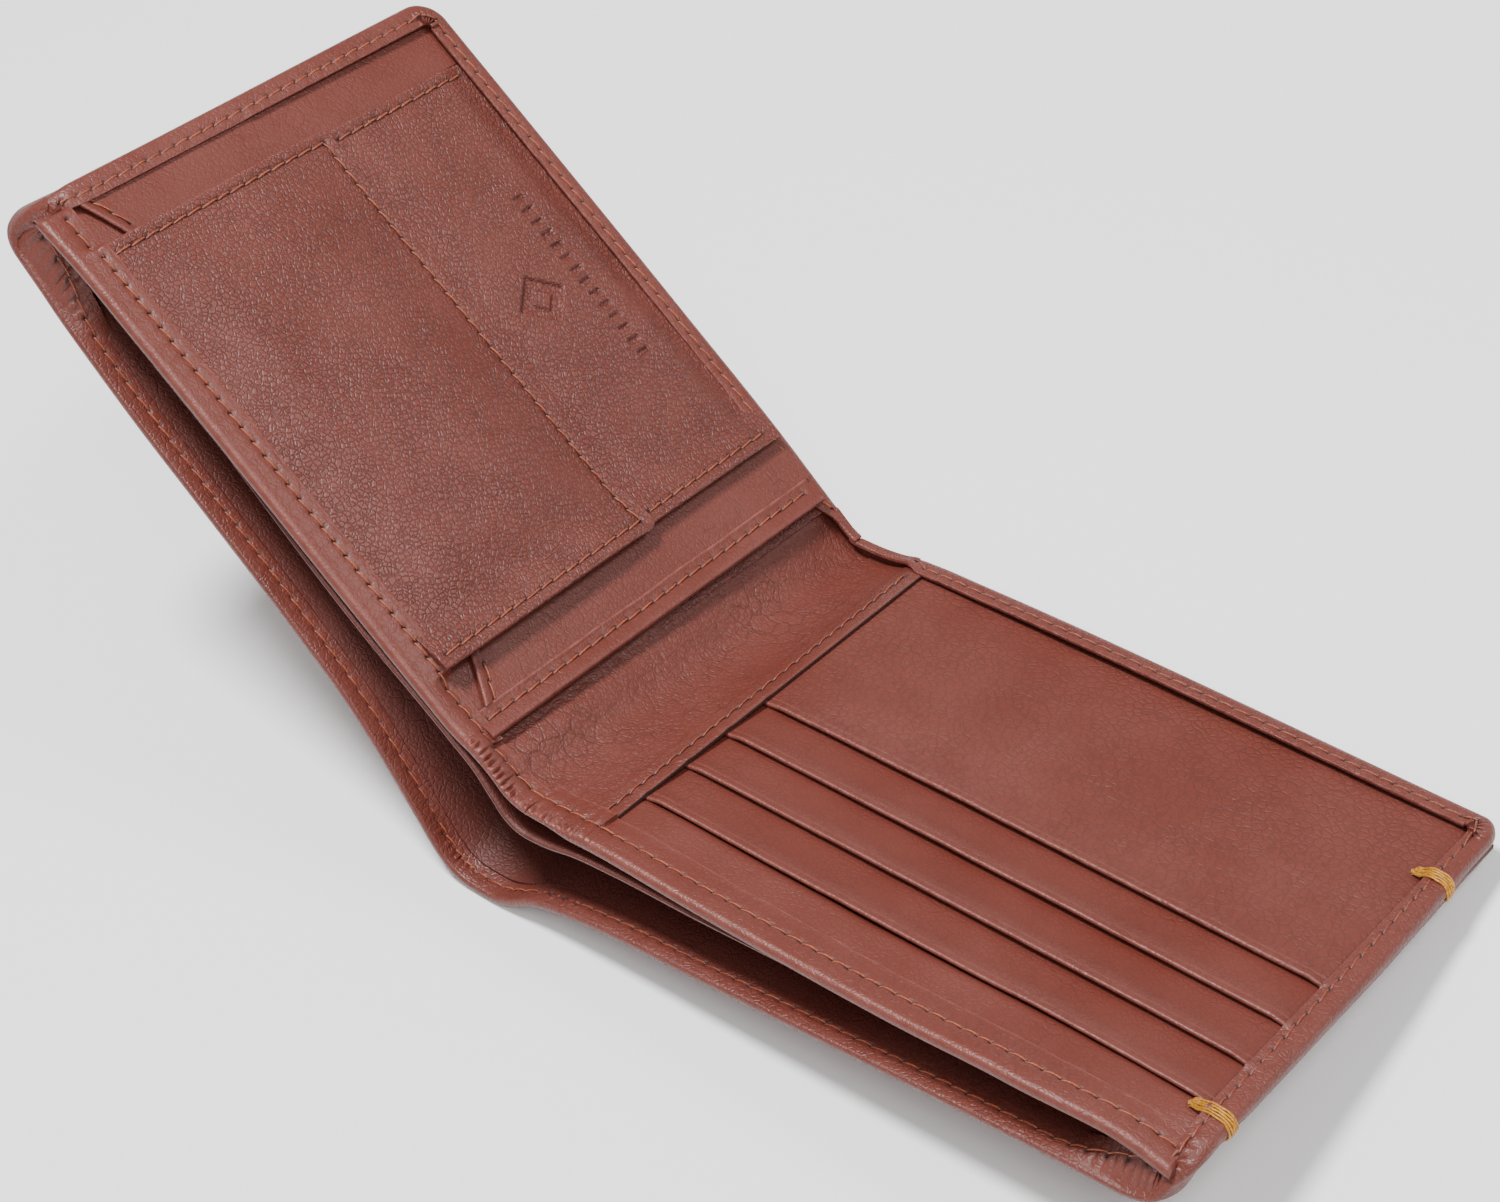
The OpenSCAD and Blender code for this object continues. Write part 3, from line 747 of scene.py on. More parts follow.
def closed_by_ring(outer, ring, inner, rim):
    """Points, quads and end caps of a mesh: two grids, joined round their rims by a ring of rows"""
    nu, nv = outer.shape[:2]
    count, loop = nu * nv, len(rim)
    inner_first = count + len(ring) * loop
    loops = [rim] + [count + k * loop + np.arange(loop) for k in range(len(ring))] + [inner_first + rim]
    quads = [grid_faces(nu, nv), grid_faces(nu, nv, inner_first)[:, ::-1]]
    for a, b in zip(loops[:-1], loops[1:]):
        quads.append(np.stack([a[:-1], a[1:], b[1:], b[:-1]], -1))
    here = np.arange(nv - 1)
    quads.append(np.stack([here, here + 1, inner_first + here + 1, inner_first + here], -1))
    caps = [[int(part[k]) for part in loops] for k in (0, -1)]
    points = np.concatenate([outer.reshape(-1, 3), *ring, inner.reshape(-1, 3)])
    return points, np.concatenate(quads), caps


def shell(side):
    """The outer leather of one half and half the spine, turned over its edges onto the inside.

    The outer face is a grid; from the grid's rim a ring of cross-sections climbs the wall, rolls
    over the edge and ends in the raw edge of the turned border. Returned: the piece, its needle
    holes, the way up at each of them, and which of them lie along the bill opening.
    """
    place = PLACES[side]
    flat, n, y, low, sewn, edge_r, outer, inner = shell_grid(side)
    q = flat[..., 0]

    def points(pq, py, pn, h):
        """From (q, z) points, y and normals to the shared frame, h over the outer face"""
        moved = pq + pn * h[..., None]
        return place.put(moved[..., 0], py, moved[..., 1])

    outer_grid = points(flat, y, n, outer)
    nu, nv = y.shape

    # The rim, from the near end of the split line round to its far end
    iu = np.concatenate([np.arange(nu), np.full(nv - 2, nu - 1), np.arange(nu - 1, -1, -1)])
    iv = np.concatenate([np.zeros(nu, int), np.arange(1, nv - 1), np.full(nu, nv - 1)])
    rq, ry, rn, rp = q[iu, iv], y[iu, iv], n[iu, iv], flat[iu, iv]
    r_sewn, r_edge = sewn[iu, iv], edge_r[iu, iv]
    is_far = ry > HEIGHT / 2
    spine_bottom = is_far * (1 - smooth(0.5, 5, rq))
    under = rp[:, 1]
    top = np.where(is_far, FAR_TOP[side](rq), FAR_TOP[side](LENGTH))
    top = mix(BORDER_FACE, top, smooth(20, HEIGHT - 5, ry))
    top = top - NEAR_CORNER_DROP * (1 - smooth(1.5, 9, ry)) * ~is_far
    face = mix(SHELL + STRIP, top - under, r_sewn)

    raw_q, raw_y, near_arc, on_near, far_angle, near_angle = raw_edge(side, rq, ry, is_far)
    run = np.hypot(raw_q - rq, raw_y - ry)
    dir_q, dir_y = (raw_q - rq) / run, (raw_y - ry) / run

    # Round the near corner the raw edge runs down to the middle of a fan of pleats, and up again
    _, fan_y, fan_z, fan_reach = FAN[side]
    at_end = mix(fan_z, BORDER_FACE, smooth(fan_y, fan_y + fan_reach, ry))
    at_near = mix(under + SHELL + STRIP, fan_z, smooth(BEND - 16, BEND, rq))
    raw_face = np.where(near_arc, fan_z, np.where(on_near, at_near, at_end)) - under
    raw_face = np.where(is_far, face, raw_face)

    # How far in from the rim the seam lies: along the opening, round the border, at the spine
    seam_in = np.where(on_near, OPENING_SEAM, run - 1.5)
    seam_in = mix(seam_in, OPENING_SEAM, (1 - r_sewn) * ~is_far)
    seam_in = np.where(spine_bottom > 0.5, 1.3, seam_in)
    top_r = np.minimum(1.5, (face - r_edge) * 0.7)
    wall = [(0.0, mix(r_edge, face - top_r, s)) for s in (0.5, 1.0)]
    for a in np.radians((25, 50, 70, 90)):
        wall.append((top_r * (1 - math.cos(a)), face - top_r * (1 - math.sin(a))))
    before_seam = [mix(top_r, seam_in, s) for s in (0.25, 0.5, 0.72)]
    after_seam = [mix(seam_in + SEAM_ROWS[-1], run, s) for s in (0.35, 0.7, 0.88, 0.94, 0.99)]
    strip = before_seam + seam_rows(seam_in) + after_seam

    seam_q, seam_y = rq + dir_q * seam_in, ry + dir_y * seam_in
    travel = np.concatenate([[0], np.cumsum(np.hypot(np.diff(seam_q), np.diff(seam_y)))])
    seam_end = travel[len(rq) - 1 - np.argmax(rq[::-1] > 2.6)]
    seam = Seam(travel, travel[0], seam_end)

    pleat = (1 - smooth(5, 10, ry)) * smooth(BEND - 13, BEND - 5, rq)
    far_corner = (ry > HEIGHT - CORNER - 0.5) * (rq > BEND - 0.5)
    pleat = pleat + peak(np.hypot(rq - BEND, ry - HEIGHT + CORNER) - CORNER, 1.6) * far_corner
    near_turn = np.degrees(near_angle) + (BEND - rq) * 14 * (rq < BEND)
    turn = np.where(is_far, np.degrees(far_angle), near_turn)
    ridges = np.abs(np.sin(np.radians(turn * 9))) ** 0.7 - 0.4
    gathers = np.sin(2 * math.pi * rq / 1.25 + 1.5 * noise(rq / 3, 0 * rq, 13))
    gathers = on_near * peak(rq + 4, 9) * gathers
    lump = np.zeros_like(rq)
    if side == "card":
        lump = sum(0.45 * peak(ry - mouth - 0.3, 0.7) for mouth in SLOT_MOUTHS) * (rq > BEND)

    def share_of(depth):
        """Share of the way over the turned strip, from its rolled edge to its raw edge"""
        return np.clip((depth - top_r) / (run - top_r), 0, 1)

    def strip_height(depth):
        """Height of the turned strip over the outer face, without its needle holes"""
        t = share_of(depth)
        height = mix(face, raw_face, mix(t * t, t, near_arc | on_near)) + 0.14 * np.sin(math.pi * t)
        height = height + 0.22 * gathers * np.sin(math.pi * np.clip(t * 1.6, 0, 1))
        height = height + lump * smooth(0.3, 0.95, t) + 0.8 * pleat * ridges * smooth(0.02, 0.4, t)
        return height

    # Rows of the ring: how deep inside the rim, how high, how much lighter (wear, and painted highlight)
    # and how much painted shade
    flush = np.zeros_like(rq)
    rows = [(depth + flush, height, 0.1 + flush, flush) for depth, height in wall]
    for depth in strip:
        height = strip_height(depth) - seam.dip(travel, depth - seam_in)
        height = height + 0.06 * noise(travel / 3.1, depth / 2.0, 12)
        wear_and_highlight_share = 0.75 * smooth(0.975, 0.995, share_of(depth)) + 0.1
        rows.append((depth, height, wear_and_highlight_share, seam.painted_shade(travel, depth - seam_in)))
    # Its raw edge and underside
    for deeper, drop, wear_and_highlight_share in ((0.02, 0.1, 0.9), (0.03, 0.45, 0.5), (-0.3, 0.62, 0.0), (-1.2, 0.62, 0.0)):
        height = strip_height(run + deeper) - drop * mix(0.85, 1.25, r_sewn)
        rows.append((run + deeper, np.maximum(height, SHELL + 0.01), wear_and_highlight_share + flush, flush))

    ring = []
    for depth, height, _, _ in rows:
        base = rp + np.stack([dir_q * depth, 0 * depth], -1)
        ring.append(points(base, ry + dir_y * depth, rn, height))
    inset = 1.3
    inner_flat = np.stack([np.minimum(q, LENGTH - inset), flat[..., 1]], -1)
    inner_low = np.maximum(inset, low + 1.0)
    inner_grid = points(inner_flat, np.clip(y, inner_low, HEIGHT - inner_low), n, inner)

    mesh_points, quads, caps = closed_by_ring(outer_grid, ring, inner_grid, iu * nv + iv)
    wear_and_highlight = np.concatenate([np.full(nu * nv, 0.05), *[row[2] for row in rows], np.zeros(nu * nv)])
    painted_shade = np.concatenate([np.zeros(nu * nv), *[row[3] for row in rows], np.zeros(nu * nv)])
    piece = build(f"shell_leather_{side}", mesh_points, quads, caps, wear_and_highlight, painted_shade)

    # Needle holes, from the seam's row of the ring
    at = seam.stations
    row = len(wall) + len(before_seam) + SEAM_ROWS.index(0.0)
    gathered = smooth(0, 2.5, raw_face - face)[at] * (~is_far)[at]
    ups = rn[at, :1] * place.x + rn[at, 1:] * place.up
    holes = ring[row][at] + ups * (0.3 + 0.35 * gathered + 0.4 * pleat[at])[:, None]
    return piece, holes, ups, on_near[at]


# ---- making the pieces -------------------------------------------------------------------------

def bend_with(piece, side, reach=9.0):
    """Bakes the piece's placement into its mesh; the piece is left unparented, bound to neither half nor
    spine
    """
    place = PLACES[side]
    outer = Vector(place.put(np.array(reach), np.array(HEIGHT / 2), np.array(0.0)) * MM)
    if side == "card":
        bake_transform(piece)
    else:
        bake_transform(piece)


def make_shell(side):
    piece, holes, ups, along_opening = shell(side)
    finish_piece(piece, "shell_leather")
    cad = {"card": ("shell_card_half", "border_card_half", "shell_spine"),
           "pocket": ("shell_pocket_half", "border_pocket_half")}[side]
    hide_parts(*cad)
    bend_with(piece, side)
    last = int(np.max(np.nonzero(along_opening)))
    opening = stitches(f"stitches_shell_opening_{side}", holes[:last + 1], ups[:last + 1])
    border = stitches(f"stitches_border_{side}", holes[last:], ups[last:],
                      "border_thread" if side == "card" else "thread")
    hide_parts(*with_spine("seam_shell_top", side))
    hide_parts(f"seam_border_{side}_half")
    bend_with(opening, side)
    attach(border, side + "_half")


def inner_sheet(name, side, curves, xs, ys, over, under, wear_and_highlight=None, painted_shade=None, back=0):
    """A sheet across the spine, ruled between its near and far curves"""
    place = PLACES[side]
    y = np.broadcast_to(ys, (len(xs), len(ys)))
    flat, _ = ruled(side, curves, xs, y)
    base = place.put(flat[..., 0], y + back, flat[..., 1])
    up = place.up * 0.5 + card.up * 0.5
    return leather_sheet(name, base, up, over, under, wear_and_highlight, painted_shade)


def make_lining(side):
    first = SHELL_SPLIT[side][0]
    xs = ticks(first, LENGTH - 1.6, 1.1)
    ys = ticks(4.2, HEIGHT - 1.6, 1.4)
    q, y = np.meshgrid(xs, ys, indexing="ij")
    wave = noise(q / 8, y / 15, 21) * 0.12
    piece = inner_sheet(f"lining_{side}", side, SHELL_CURVES, xs, ys,
                        SHELL + 0.42 + np.abs(wave) * smooth(first, first + 4, q), SHELL + 0.1)
    finish_piece(piece, "lining_leather")
    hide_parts(*with_spine("shell_lining", side))
    bend_with(piece, side)


def make_divider(side):
    xs = ticks(DIVIDER_CURVES[2][side][0], LENGTH - 2.0, 0.7)
    ys = ticks(0.2, HEIGHT - 1.6, 1.2, 1.0)
    q, y = np.meshgrid(xs, ys, indexing="ij")
    edge = y - ys[0]
    back = 2.6 * smooth(20, 95, q) * (1 - smooth(0, 20, y))
    # Two layers where its edge is turned over, then one
    thick = mix(mix(0.72, 0.5, smooth(20, 60, q)), 0.36, smooth(4.6, 5.2, y))
    # Its lighter rolled near edge is a painted highlight
    piece = inner_sheet(f"divider_leather_{side}", side, DIVIDER_CURVES, xs, ys,
                        thick - roll(edge, thick) - 0.25, 0.1 - thick + roll(edge, thick),
                        wear_and_highlight=0.25 * peak(edge, 0.5), back=back)
    finish_piece(piece, "divider_leather")
    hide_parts(*with_spine("divider", side))
    bend_with(piece, side)


for make_layer in (make_shell, make_lining, make_divider):
    for half in PLACES:
        make_layer(half)


# ---- the strip along the bill opening, and the gusset ------------------------------------------

def panel_face(side, q):
    """Height of what the strip's raw edge lies on"""
    if side == "card":
        return np.where(q < GUSSET_EDGE, 0.25, -0.25) + 0 * q
    steps = mix(0.3, 0.15, smooth(8.2, 8.8, q))
    steps = mix(steps, 1.75, smooth(14.6, 15.8, q))
    return mix(steps, 0.3, smooth(95.4, 96.6, q))


def make_opening_strip(side):
    """The inner panel's leather, turned over the bill opening and sewn down"""
    place = PLACES[side]
    wide = OPENING_STRIP[side]
    first = GUSSET_SPLIT[side][0]
    last = LENGTH - 3.6
    last_hole = last - 1.5
    xs = merged(hole_ticks(first, last_hole), ticks(first, last, 0.9, 1.0), gap=0.07)
    ys = merged(ticks(0, wide, 0.5, 1.2), seam_rows(TOP_SEAM),
                [wide - 0.04, wide - 0.12, wide - 0.3], gap=0.03)
    q, y = np.meshgrid(xs, ys, indexing="ij")
    on_gusset = q < (GUSSET_EDGE if side == "card" else 3.0)
    gusset = GUSSET_NEAR[side](q) + (GUSSET_FAR[side](q) - GUSSET_NEAR[side](q)) * y / HEIGHT
    raw = np.where(on_gusset, gusset, panel_face(side, q)) + 0.42
    if side == "card":
        raw = raw + card_lift(q, y) * (q > 0)
    z = mix(STRIP_NEAR[side](q), raw, smooth(2.0, wide - 0.8, y)) - corner_pull(side, q, y)
    dy = 0.25 * noise(q / 5.5, 0 * y, 31) * smooth(4.5, wide, y)
    seam = Seam(xs, xs[0], last_hole)
    bunched = 1 - smooth(4, 9, q)
    waves = 0.34 * np.sin(q * 2 * math.pi / 1.05 + 1.2 * noise(q / 2, y / 3, 33)) * peak(y - 0.9, 1.3)
    pleats = bunched * (waves + 0.20 * noise(q / 0.9, y / 3.0, 34) * smooth(1, 4, y))
    glossy = 0.07 * noise(q / 0.8, y / 0.9, 36) * smooth(4.2, 5.2, y)
    swell = 0.10 * (1 - peak(seam.nearest(q), 0.8)) * peak(y - TOP_SEAM + 1.1, 0.8)
    thick = mix(2.1, 1.1, 1 - smooth(-1, 4, q))
    edge = thick / 2
    trough, hole = 0.22, 0.4
    over = pleats + glossy + swell - seam.dip(q, y - TOP_SEAM, trough, hole)
    over = over - roll(y, edge) - roll(wide - y, 0.12) - roll(last - q, 0.5)
    under = -thick + roll(y, edge)
    base = place.put(q, y + dy + draw_in(side, q, y), z)
    # Lighter rolled edge along the opening: painted highlight; lighter raw edge: wear
    wear_and_highlight = 0.42 * peak(y - 0.5, 0.5) + 0.9 * peak(y - wide, 0.22) + 0.2 * bunched * peak(y - 1, 0.8)
    piece = leather_sheet(f"opening_strip_{side}", base, place.up, over, under, wear_and_highlight,
                          seam.painted_shade(q, y - TOP_SEAM))
    finish_piece(piece, "slot_leather")
    bend_with(piece, side)
    row = int(np.argmin(abs(ys - TOP_SEAM)))
    n = normals_of(base, place.up)
    whole = over + seam.dip(q, y - TOP_SEAM, 0.0, hole)
    holes = (base + n * whole[..., None])[seam.stations, row]
    thread = stitches(f"stitches_opening_{side}", holes, n[seam.stations, row], lift=0.16)
    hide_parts(*with_spine("seam_top", side))
    bend_with(thread, side)


def make_gusset(side):
    """Soft leather between the halves, its card-side edge sewn over the ends of the card slots"""
    first = GUSSET_SPLIT[side][0]
    last = GUSSET_EDGE if side == "card" else 7.5
    end = HEIGHT - 0.9
    xs = merged(ticks(first, last, 0.33), seam_rows(GUSSET_SEAM),
                [last - 0.04, last - 0.15, last - 0.3], gap=0.03)
    ys = merged(hole_ticks(*SEWN), ticks(LAYER_START, end, 0.5, 0.6), gap=0.07)
    q, y = np.meshgrid(xs, ys, indexing="ij")
    slanted = noise((q + y * 0.35) / 3.2, (y - q) / 9.0, 41) * 0.03
    fine = creases((q * 1.2 + y * 0.5) / 2.0, (y * 0.7 - q) / 3.4, 43) * 0.07
    cross = creases((q - y * 0.55) / 2.4, y / 2.6, 44) * 0.05
    near_folds = noise(q / 1.4, y / 6.0, 45) * 0.14 * (1 - smooth(6, 18, y))
    soft_part = smooth(first, first + 2.5, q) * (1 - smooth(2.8, 4.6, q))
    over = (slanted + fine + cross + near_folds) * soft_part
    painted_shade = None
    wear_and_highlight = None
    seam = Seam(ys, *SEWN)
    if side == "card":
        lumps = sum(0.16 * peak(y - m - 0.3, 0.8) for m in SLOT_MOUTHS) * smooth(3.2, 5.5, q)
        ridge = 0.10 * peak(q - (GUSSET_EDGE - 3.9), 0.35)
        over = over + lumps + ridge - seam.dip(y, q - GUSSET_SEAM) - roll(last - q, 0.1)
        # Painted shade in the needle holes and a painted shadow line along the sewn edge
        painted_shade = seam.painted_shade(y, q - GUSSET_SEAM) * 0.9 + 0.75 * peak(q - last, 0.07)
        wear_and_highlight = 0.25 * peak(q - last + 0.3, 0.15)
    over = over - roll(end - y, 0.3)
    piece = inner_sheet(f"gusset_leather_{side}", side, GUSSET_CURVES, xs, ys,
                        over, roll(end - y, 0.25) - 0.55, wear_and_highlight, painted_shade)
    finish_piece(piece, "gusset_leather")
    if side == "card":
        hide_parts("hinge_gusset", "gusset_sewn_edge")
        row = int(np.argmin(abs(xs - GUSSET_SEAM)))
        flat, _ = ruled(side, GUSSET_CURVES, xs, y)
        base = card.put(flat[..., 0], y, flat[..., 1])
        whole = over + seam.dip(y, q - GUSSET_SEAM) - 0.05
        holes = (base + normals_of(base, card.up) * whole[..., None])[row, seam.stations]
        sew("stitches_gusset", holes, "card", "seam_gusset", "border_thread", lift=0.17)
    bend_with(piece, side, reach=6.0)


for make_layer in (make_opening_strip, make_gusset):
    for half in PLACES:
        make_layer(half)


# ---- card half ---------------------------------------------------------------------------------

def flat_sheet(name, side, q, y, face, bottom, material, cad, wear_and_highlight=None, painted_shade=None):
    """A layer that lies on one half"""
    place = PLACES[side]
    piece = leather_sheet(name, place.put(q, y, 0 * q), place.up, face, bottom, wear_and_highlight, painted_shade)
    finish_piece(piece, material)
    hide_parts(cad)
    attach(piece, side + "_half")


def make_card_panel():
    qs = ticks(2.6, LENGTH - 1.4, 1.2)
    ys = ticks(1.4, HEIGHT - 1.5, 0.8, 0.5)
    q, y = np.meshgrid(qs, ys, indexing="ij")
    drop = smooth(12.4, 16.5, y) * 2.0
    face = -0.3 - drop + card_lift(q, y) - corner_pull("card", q, y)
    face = face + noise(q / 9, y / 6, 51) * 0.10
    flat_sheet("panel_leather_card", "card", q, y + draw_in("card", q, y), face, face - 0.7,
               "slot_leather", "inner_panel_card_half")


def make_slot(number, mouth):
    """The front of one card slot, with a folded and creased mouth; the first reaches the bottom"""
    crease_at = 1.3
    largest = number == 1
    far = LAYER_BOTTOM if largest else mouth + SLOT_FRONT
    qs = merged(ticks(LAYER_START, LAYER_END, 0.8, 0.4), ticks(98, 103, 0.3), gap=0.05)
    ys = merged(ticks(mouth, far, 0.6, 0.5),
                [mouth + crease_at + o for o in (-0.3, -0.15, 0, 0.15, 0.3)], gap=0.03)
    q, y = np.meshgrid(qs, ys, indexing="ij")
    inside = y - mouth
    free = smooth(GUSSET_EDGE - 0.6, GUSSET_EDGE + 2.5, q) * (1 - smooth(98.5, 101.6, q))
    slope = 0 if largest else 1.2 * inside / SLOT_FRONT
    lip = 0.45 * (1 - smooth(0.6, 4.0, inside)) * free
    crease = 0.07 * peak(inside - crease_at, 0.22)
    soft = noise(q / 13, y / 9, 60 + number) * 0.16 + noise(q / 4.5, y / 6, 70 + number) * 0.05
    bow = 0.22 * np.sin(math.pi * np.clip((q - GUSSET_EDGE) / 95, 0, 1)) * (1 - smooth(0, 8, inside))
    ends = smooth(100.6, 101.9, q) * 0.35
    face = -0.1 + lip - slope - crease + soft * free + bow - ends + card_lift(q, y) * 0.9
    thick = mix(0.78, 0.5, smooth(1.5, 4, inside))
    fold = roll(inside, thick / 2)
    # Lighter folded lip and crease line: painted highlight, partly wear
    wear_and_highlight = 0.45 * peak(inside - 0.15, 0.28) + 0.30 * peak(inside - crease_at - 0.12, 0.14)
    flat_sheet(f"slot_front_{number}", "card", q, y, face - fold, face - thick + fold,
               "blank_leather" if largest else "slot_leather",
               f"card_pocket_{number}", wear_and_highlight)


def dress_tail(number):
    """The cloth that carries a slot's back down to the bottom seam is kept from CAD"""
    tail = frame["nodes"][f"card_pocket_tail_{number}"]
    tail.data.materials.clear()
    tail.data.materials.append(MATERIALS["pocket_cloth"])


make_card_panel()
for slot_number, slot_mouth in enumerate(SLOT_MOUTHS, 1):
    make_slot(slot_number, slot_mouth)
for slot_number in (2, 3, 4):
    dress_tail(slot_number)


# ---- pocket half -------------------------------------------------------------------------------

def make_pocket_panel():
    q, y = np.meshgrid(ticks(2.6, LENGTH - 1.5, 1.5), ticks(1.4, HEIGHT - 1.5, 1.5), indexing="ij")
    face = -1.25 + noise(q / 9, y / 9, 81) * 0.05
    flat_sheet("panel_leather_pocket", "pocket", q, y, face, face - 0.7, "panel_leather",
               "inner_panel_pocket_half")


def make_slip():
    """The slip panel: a sheet, and its free edge, which is turned back over it and sewn"""
    end = SLIP_EDGE + HEM
    qs = merged(ticks(SLIP_EDGE + 0.4, LAYER_END, 0.8), ticks(8, 9, 0.12), gap=0.05)
    ys = ticks(LAYER_START, LAYER_BOTTOM, 0.8)
    q, y = np.meshgrid(qs, ys, indexing="ij")
    soft = noise(q / 10, y / 12, 83) * 0.14 + noise(q / 3, y / 5, 84) * 0.04
    face = -0.3 + soft - 0.35 * smooth(LAYER_END - 4, LAYER_END, q)
    # A painted shadow line on the slip panel just beyond the hem's raw edge
    flat_sheet("slip_leather", "pocket", q, y, face, face - 0.75, "slot_leather",
               "slip_panel", painted_shade=0.55 * peak(q - end - 0.1, 0.22))

    ys = merged(hole_ticks(*SLIP_SEWN), ticks(LAYER_START, HEIGHT - 3, 0.7, 0.4), gap=0.07)
    qs = merged(ticks(SLIP_EDGE, end, 0.35, 0.6), seam_rows(SLIP_SEAM),
                [end - 0.03, end - 0.1, end - 0.25], gap=0.025)
    q, y = np.meshgrid(qs, ys, indexing="ij")
    seam = Seam(ys, *SLIP_SEWN)
    wander = 0.18 * noise(y / 9, 0 * y, 86)
    face = 0.28 + noise(q / 2.2, y / 3.5, 87) * 0.12 * smooth(5.2, 6.5, q) - seam.dip(y, q - SLIP_SEAM)
    face = face + 0.08 * peak(q - 5.2, 0.7) + 0.14 * peak(q - end + 0.25, 0.4)
    lift = 0.95 * (1 - smooth(SLIP_EDGE, SLIP_EDGE + 4.6, q))
    top = face - roll(q - SLIP_EDGE, 0.62) - roll(end - q, 0.1) + lift
    under = mix(-0.3, -0.9, smooth(SLIP_EDGE + 1.5, end, q)) + lift + roll(q - SLIP_EDGE, 0.5)
    # Lighter rolled edge: painted highlight, partly wear; lighter raw edge: wear
    wear_and_highlight = 0.25 * peak(q - SLIP_EDGE - 0.4, 0.4) + 1.0 * peak(q - end, 0.3)
    painted_shade = seam.painted_shade(y, q - SLIP_SEAM)
    moved = q + wander * smooth(SLIP_EDGE, end, q)
    flat_sheet("slip_hem_leather", "pocket", moved, y, top, under, "slot_leather",
               "slip_panel_hem", wear_and_highlight, painted_shade)
    column = int(np.argmin(abs(qs - SLIP_SEAM)))
    at = seam.stations
    holes = pocket.put(moved[column, at], y[column, at], 0.28 + lift[column, 0])
    sew("stitches_slip_hem", holes, "pocket", "seam_slip_hem")


def notch_mouth(q):
    """The notch pocket's mouth, a shallow arc"""
    chord, dip, lowest = NOTCH[1] - NOTCH[0], 12.0, 7.0
    arc = (chord**2 / 4 + dip**2) / (2 * dip)
    mid = (NOTCH[0] + NOTCH[1]) / 2
    return lowest + dip - arc + np.sqrt(arc**2 - (np.asarray(q) - mid) ** 2)


def make_notch():
    """A panel with an arched, sewn mouth, which shows at both ends under the band"""
    deepest, thick, edge = 64, 0.66, 0.33
    qs = merged(hole_ticks(NOTCH[0] + 0.6, NOTCH[1]), gap=0.07)
    mouth = notch_mouth(qs)[:, None]
    shown = merged(ticks(0, 14, 0.5, 0.5), seam_rows(EDGE_SEAM), [0.01, 0.06, 0.2], gap=0.02)
    depth = np.concatenate([shown, ticks(15, deepest, 3)])[None, :]
    y = mouth + depth * (LAYER_BOTTOM - mouth) / deepest
    q = np.broadcast_to(qs[:, None], y.shape)
    seam = Seam(qs)
    inside = y - mouth
    soft = noise(q / 8, y / 8, 91) * 0.08
    face = 0.3 + soft + 0.10 * peak(inside - 0.9, 0.7) - seam.dip(q, inside - EDGE_SEAM)
    face = face + 0.45 * (1 - smooth(0, 4, inside))
    # Lighter rolled mouth: painted highlight, partly wear
    wear_and_highlight = 0.4 * peak(inside - 0.2, 0.25)
    flat_sheet("notch_leather", "pocket", q, y, face - roll(inside, edge),
               face - thick + roll(inside, edge), "slot_leather",
               "notch_pocket", wear_and_highlight, seam.painted_shade(q, inside - EDGE_SEAM))
    holes = pocket.put(seam.holes, notch_mouth(seam.holes) + EDGE_SEAM, 0.56)
    for label, part in (("inner", seam.holes < BAND[0]), ("outer", seam.holes > BAND[1])):
        sew(f"stitches_notch_{label}", holes[part], "pocket", "seam_notch")


def spine_side_lift(q):
    """The band and the patch stand off the slip panel along their edge nearest the spine"""
    return 1.5 * (1 - smooth(BAND[0] - 0.5, BAND[0] + 8, q))


def mark_depth(q, y):
    """A plain debossed diamond over a row of plain ticks"""
    dq, dy = q - MARK[0], y - MARK[1]
    from_middle = np.abs(dq) / 4.6 + np.abs(dy) / 5.0
    diamond = 1 - smooth(0.86, 1.04, from_middle)
    raised = smooth(0.36, 0.5, from_middle)
    step = (dq + MARK_STEP / 2) / MARK_STEP
    beside = MARK_STEP * np.abs(step - np.round(step))
    tick = (1 - smooth(0.35, 0.7, beside)) * (1 - smooth(0.9, 1.25, np.abs(dy - 8.8)))
    return 0.75 * diamond * mix(0.3, 1, raised) + 0.5 * tick * (np.abs(dq) < MARK_HALF)


def band_level(y):
    """Height of the band's face beside its edge"""
    return 1.0 - 0.6 * smooth(*BAND_SLOPE, y)


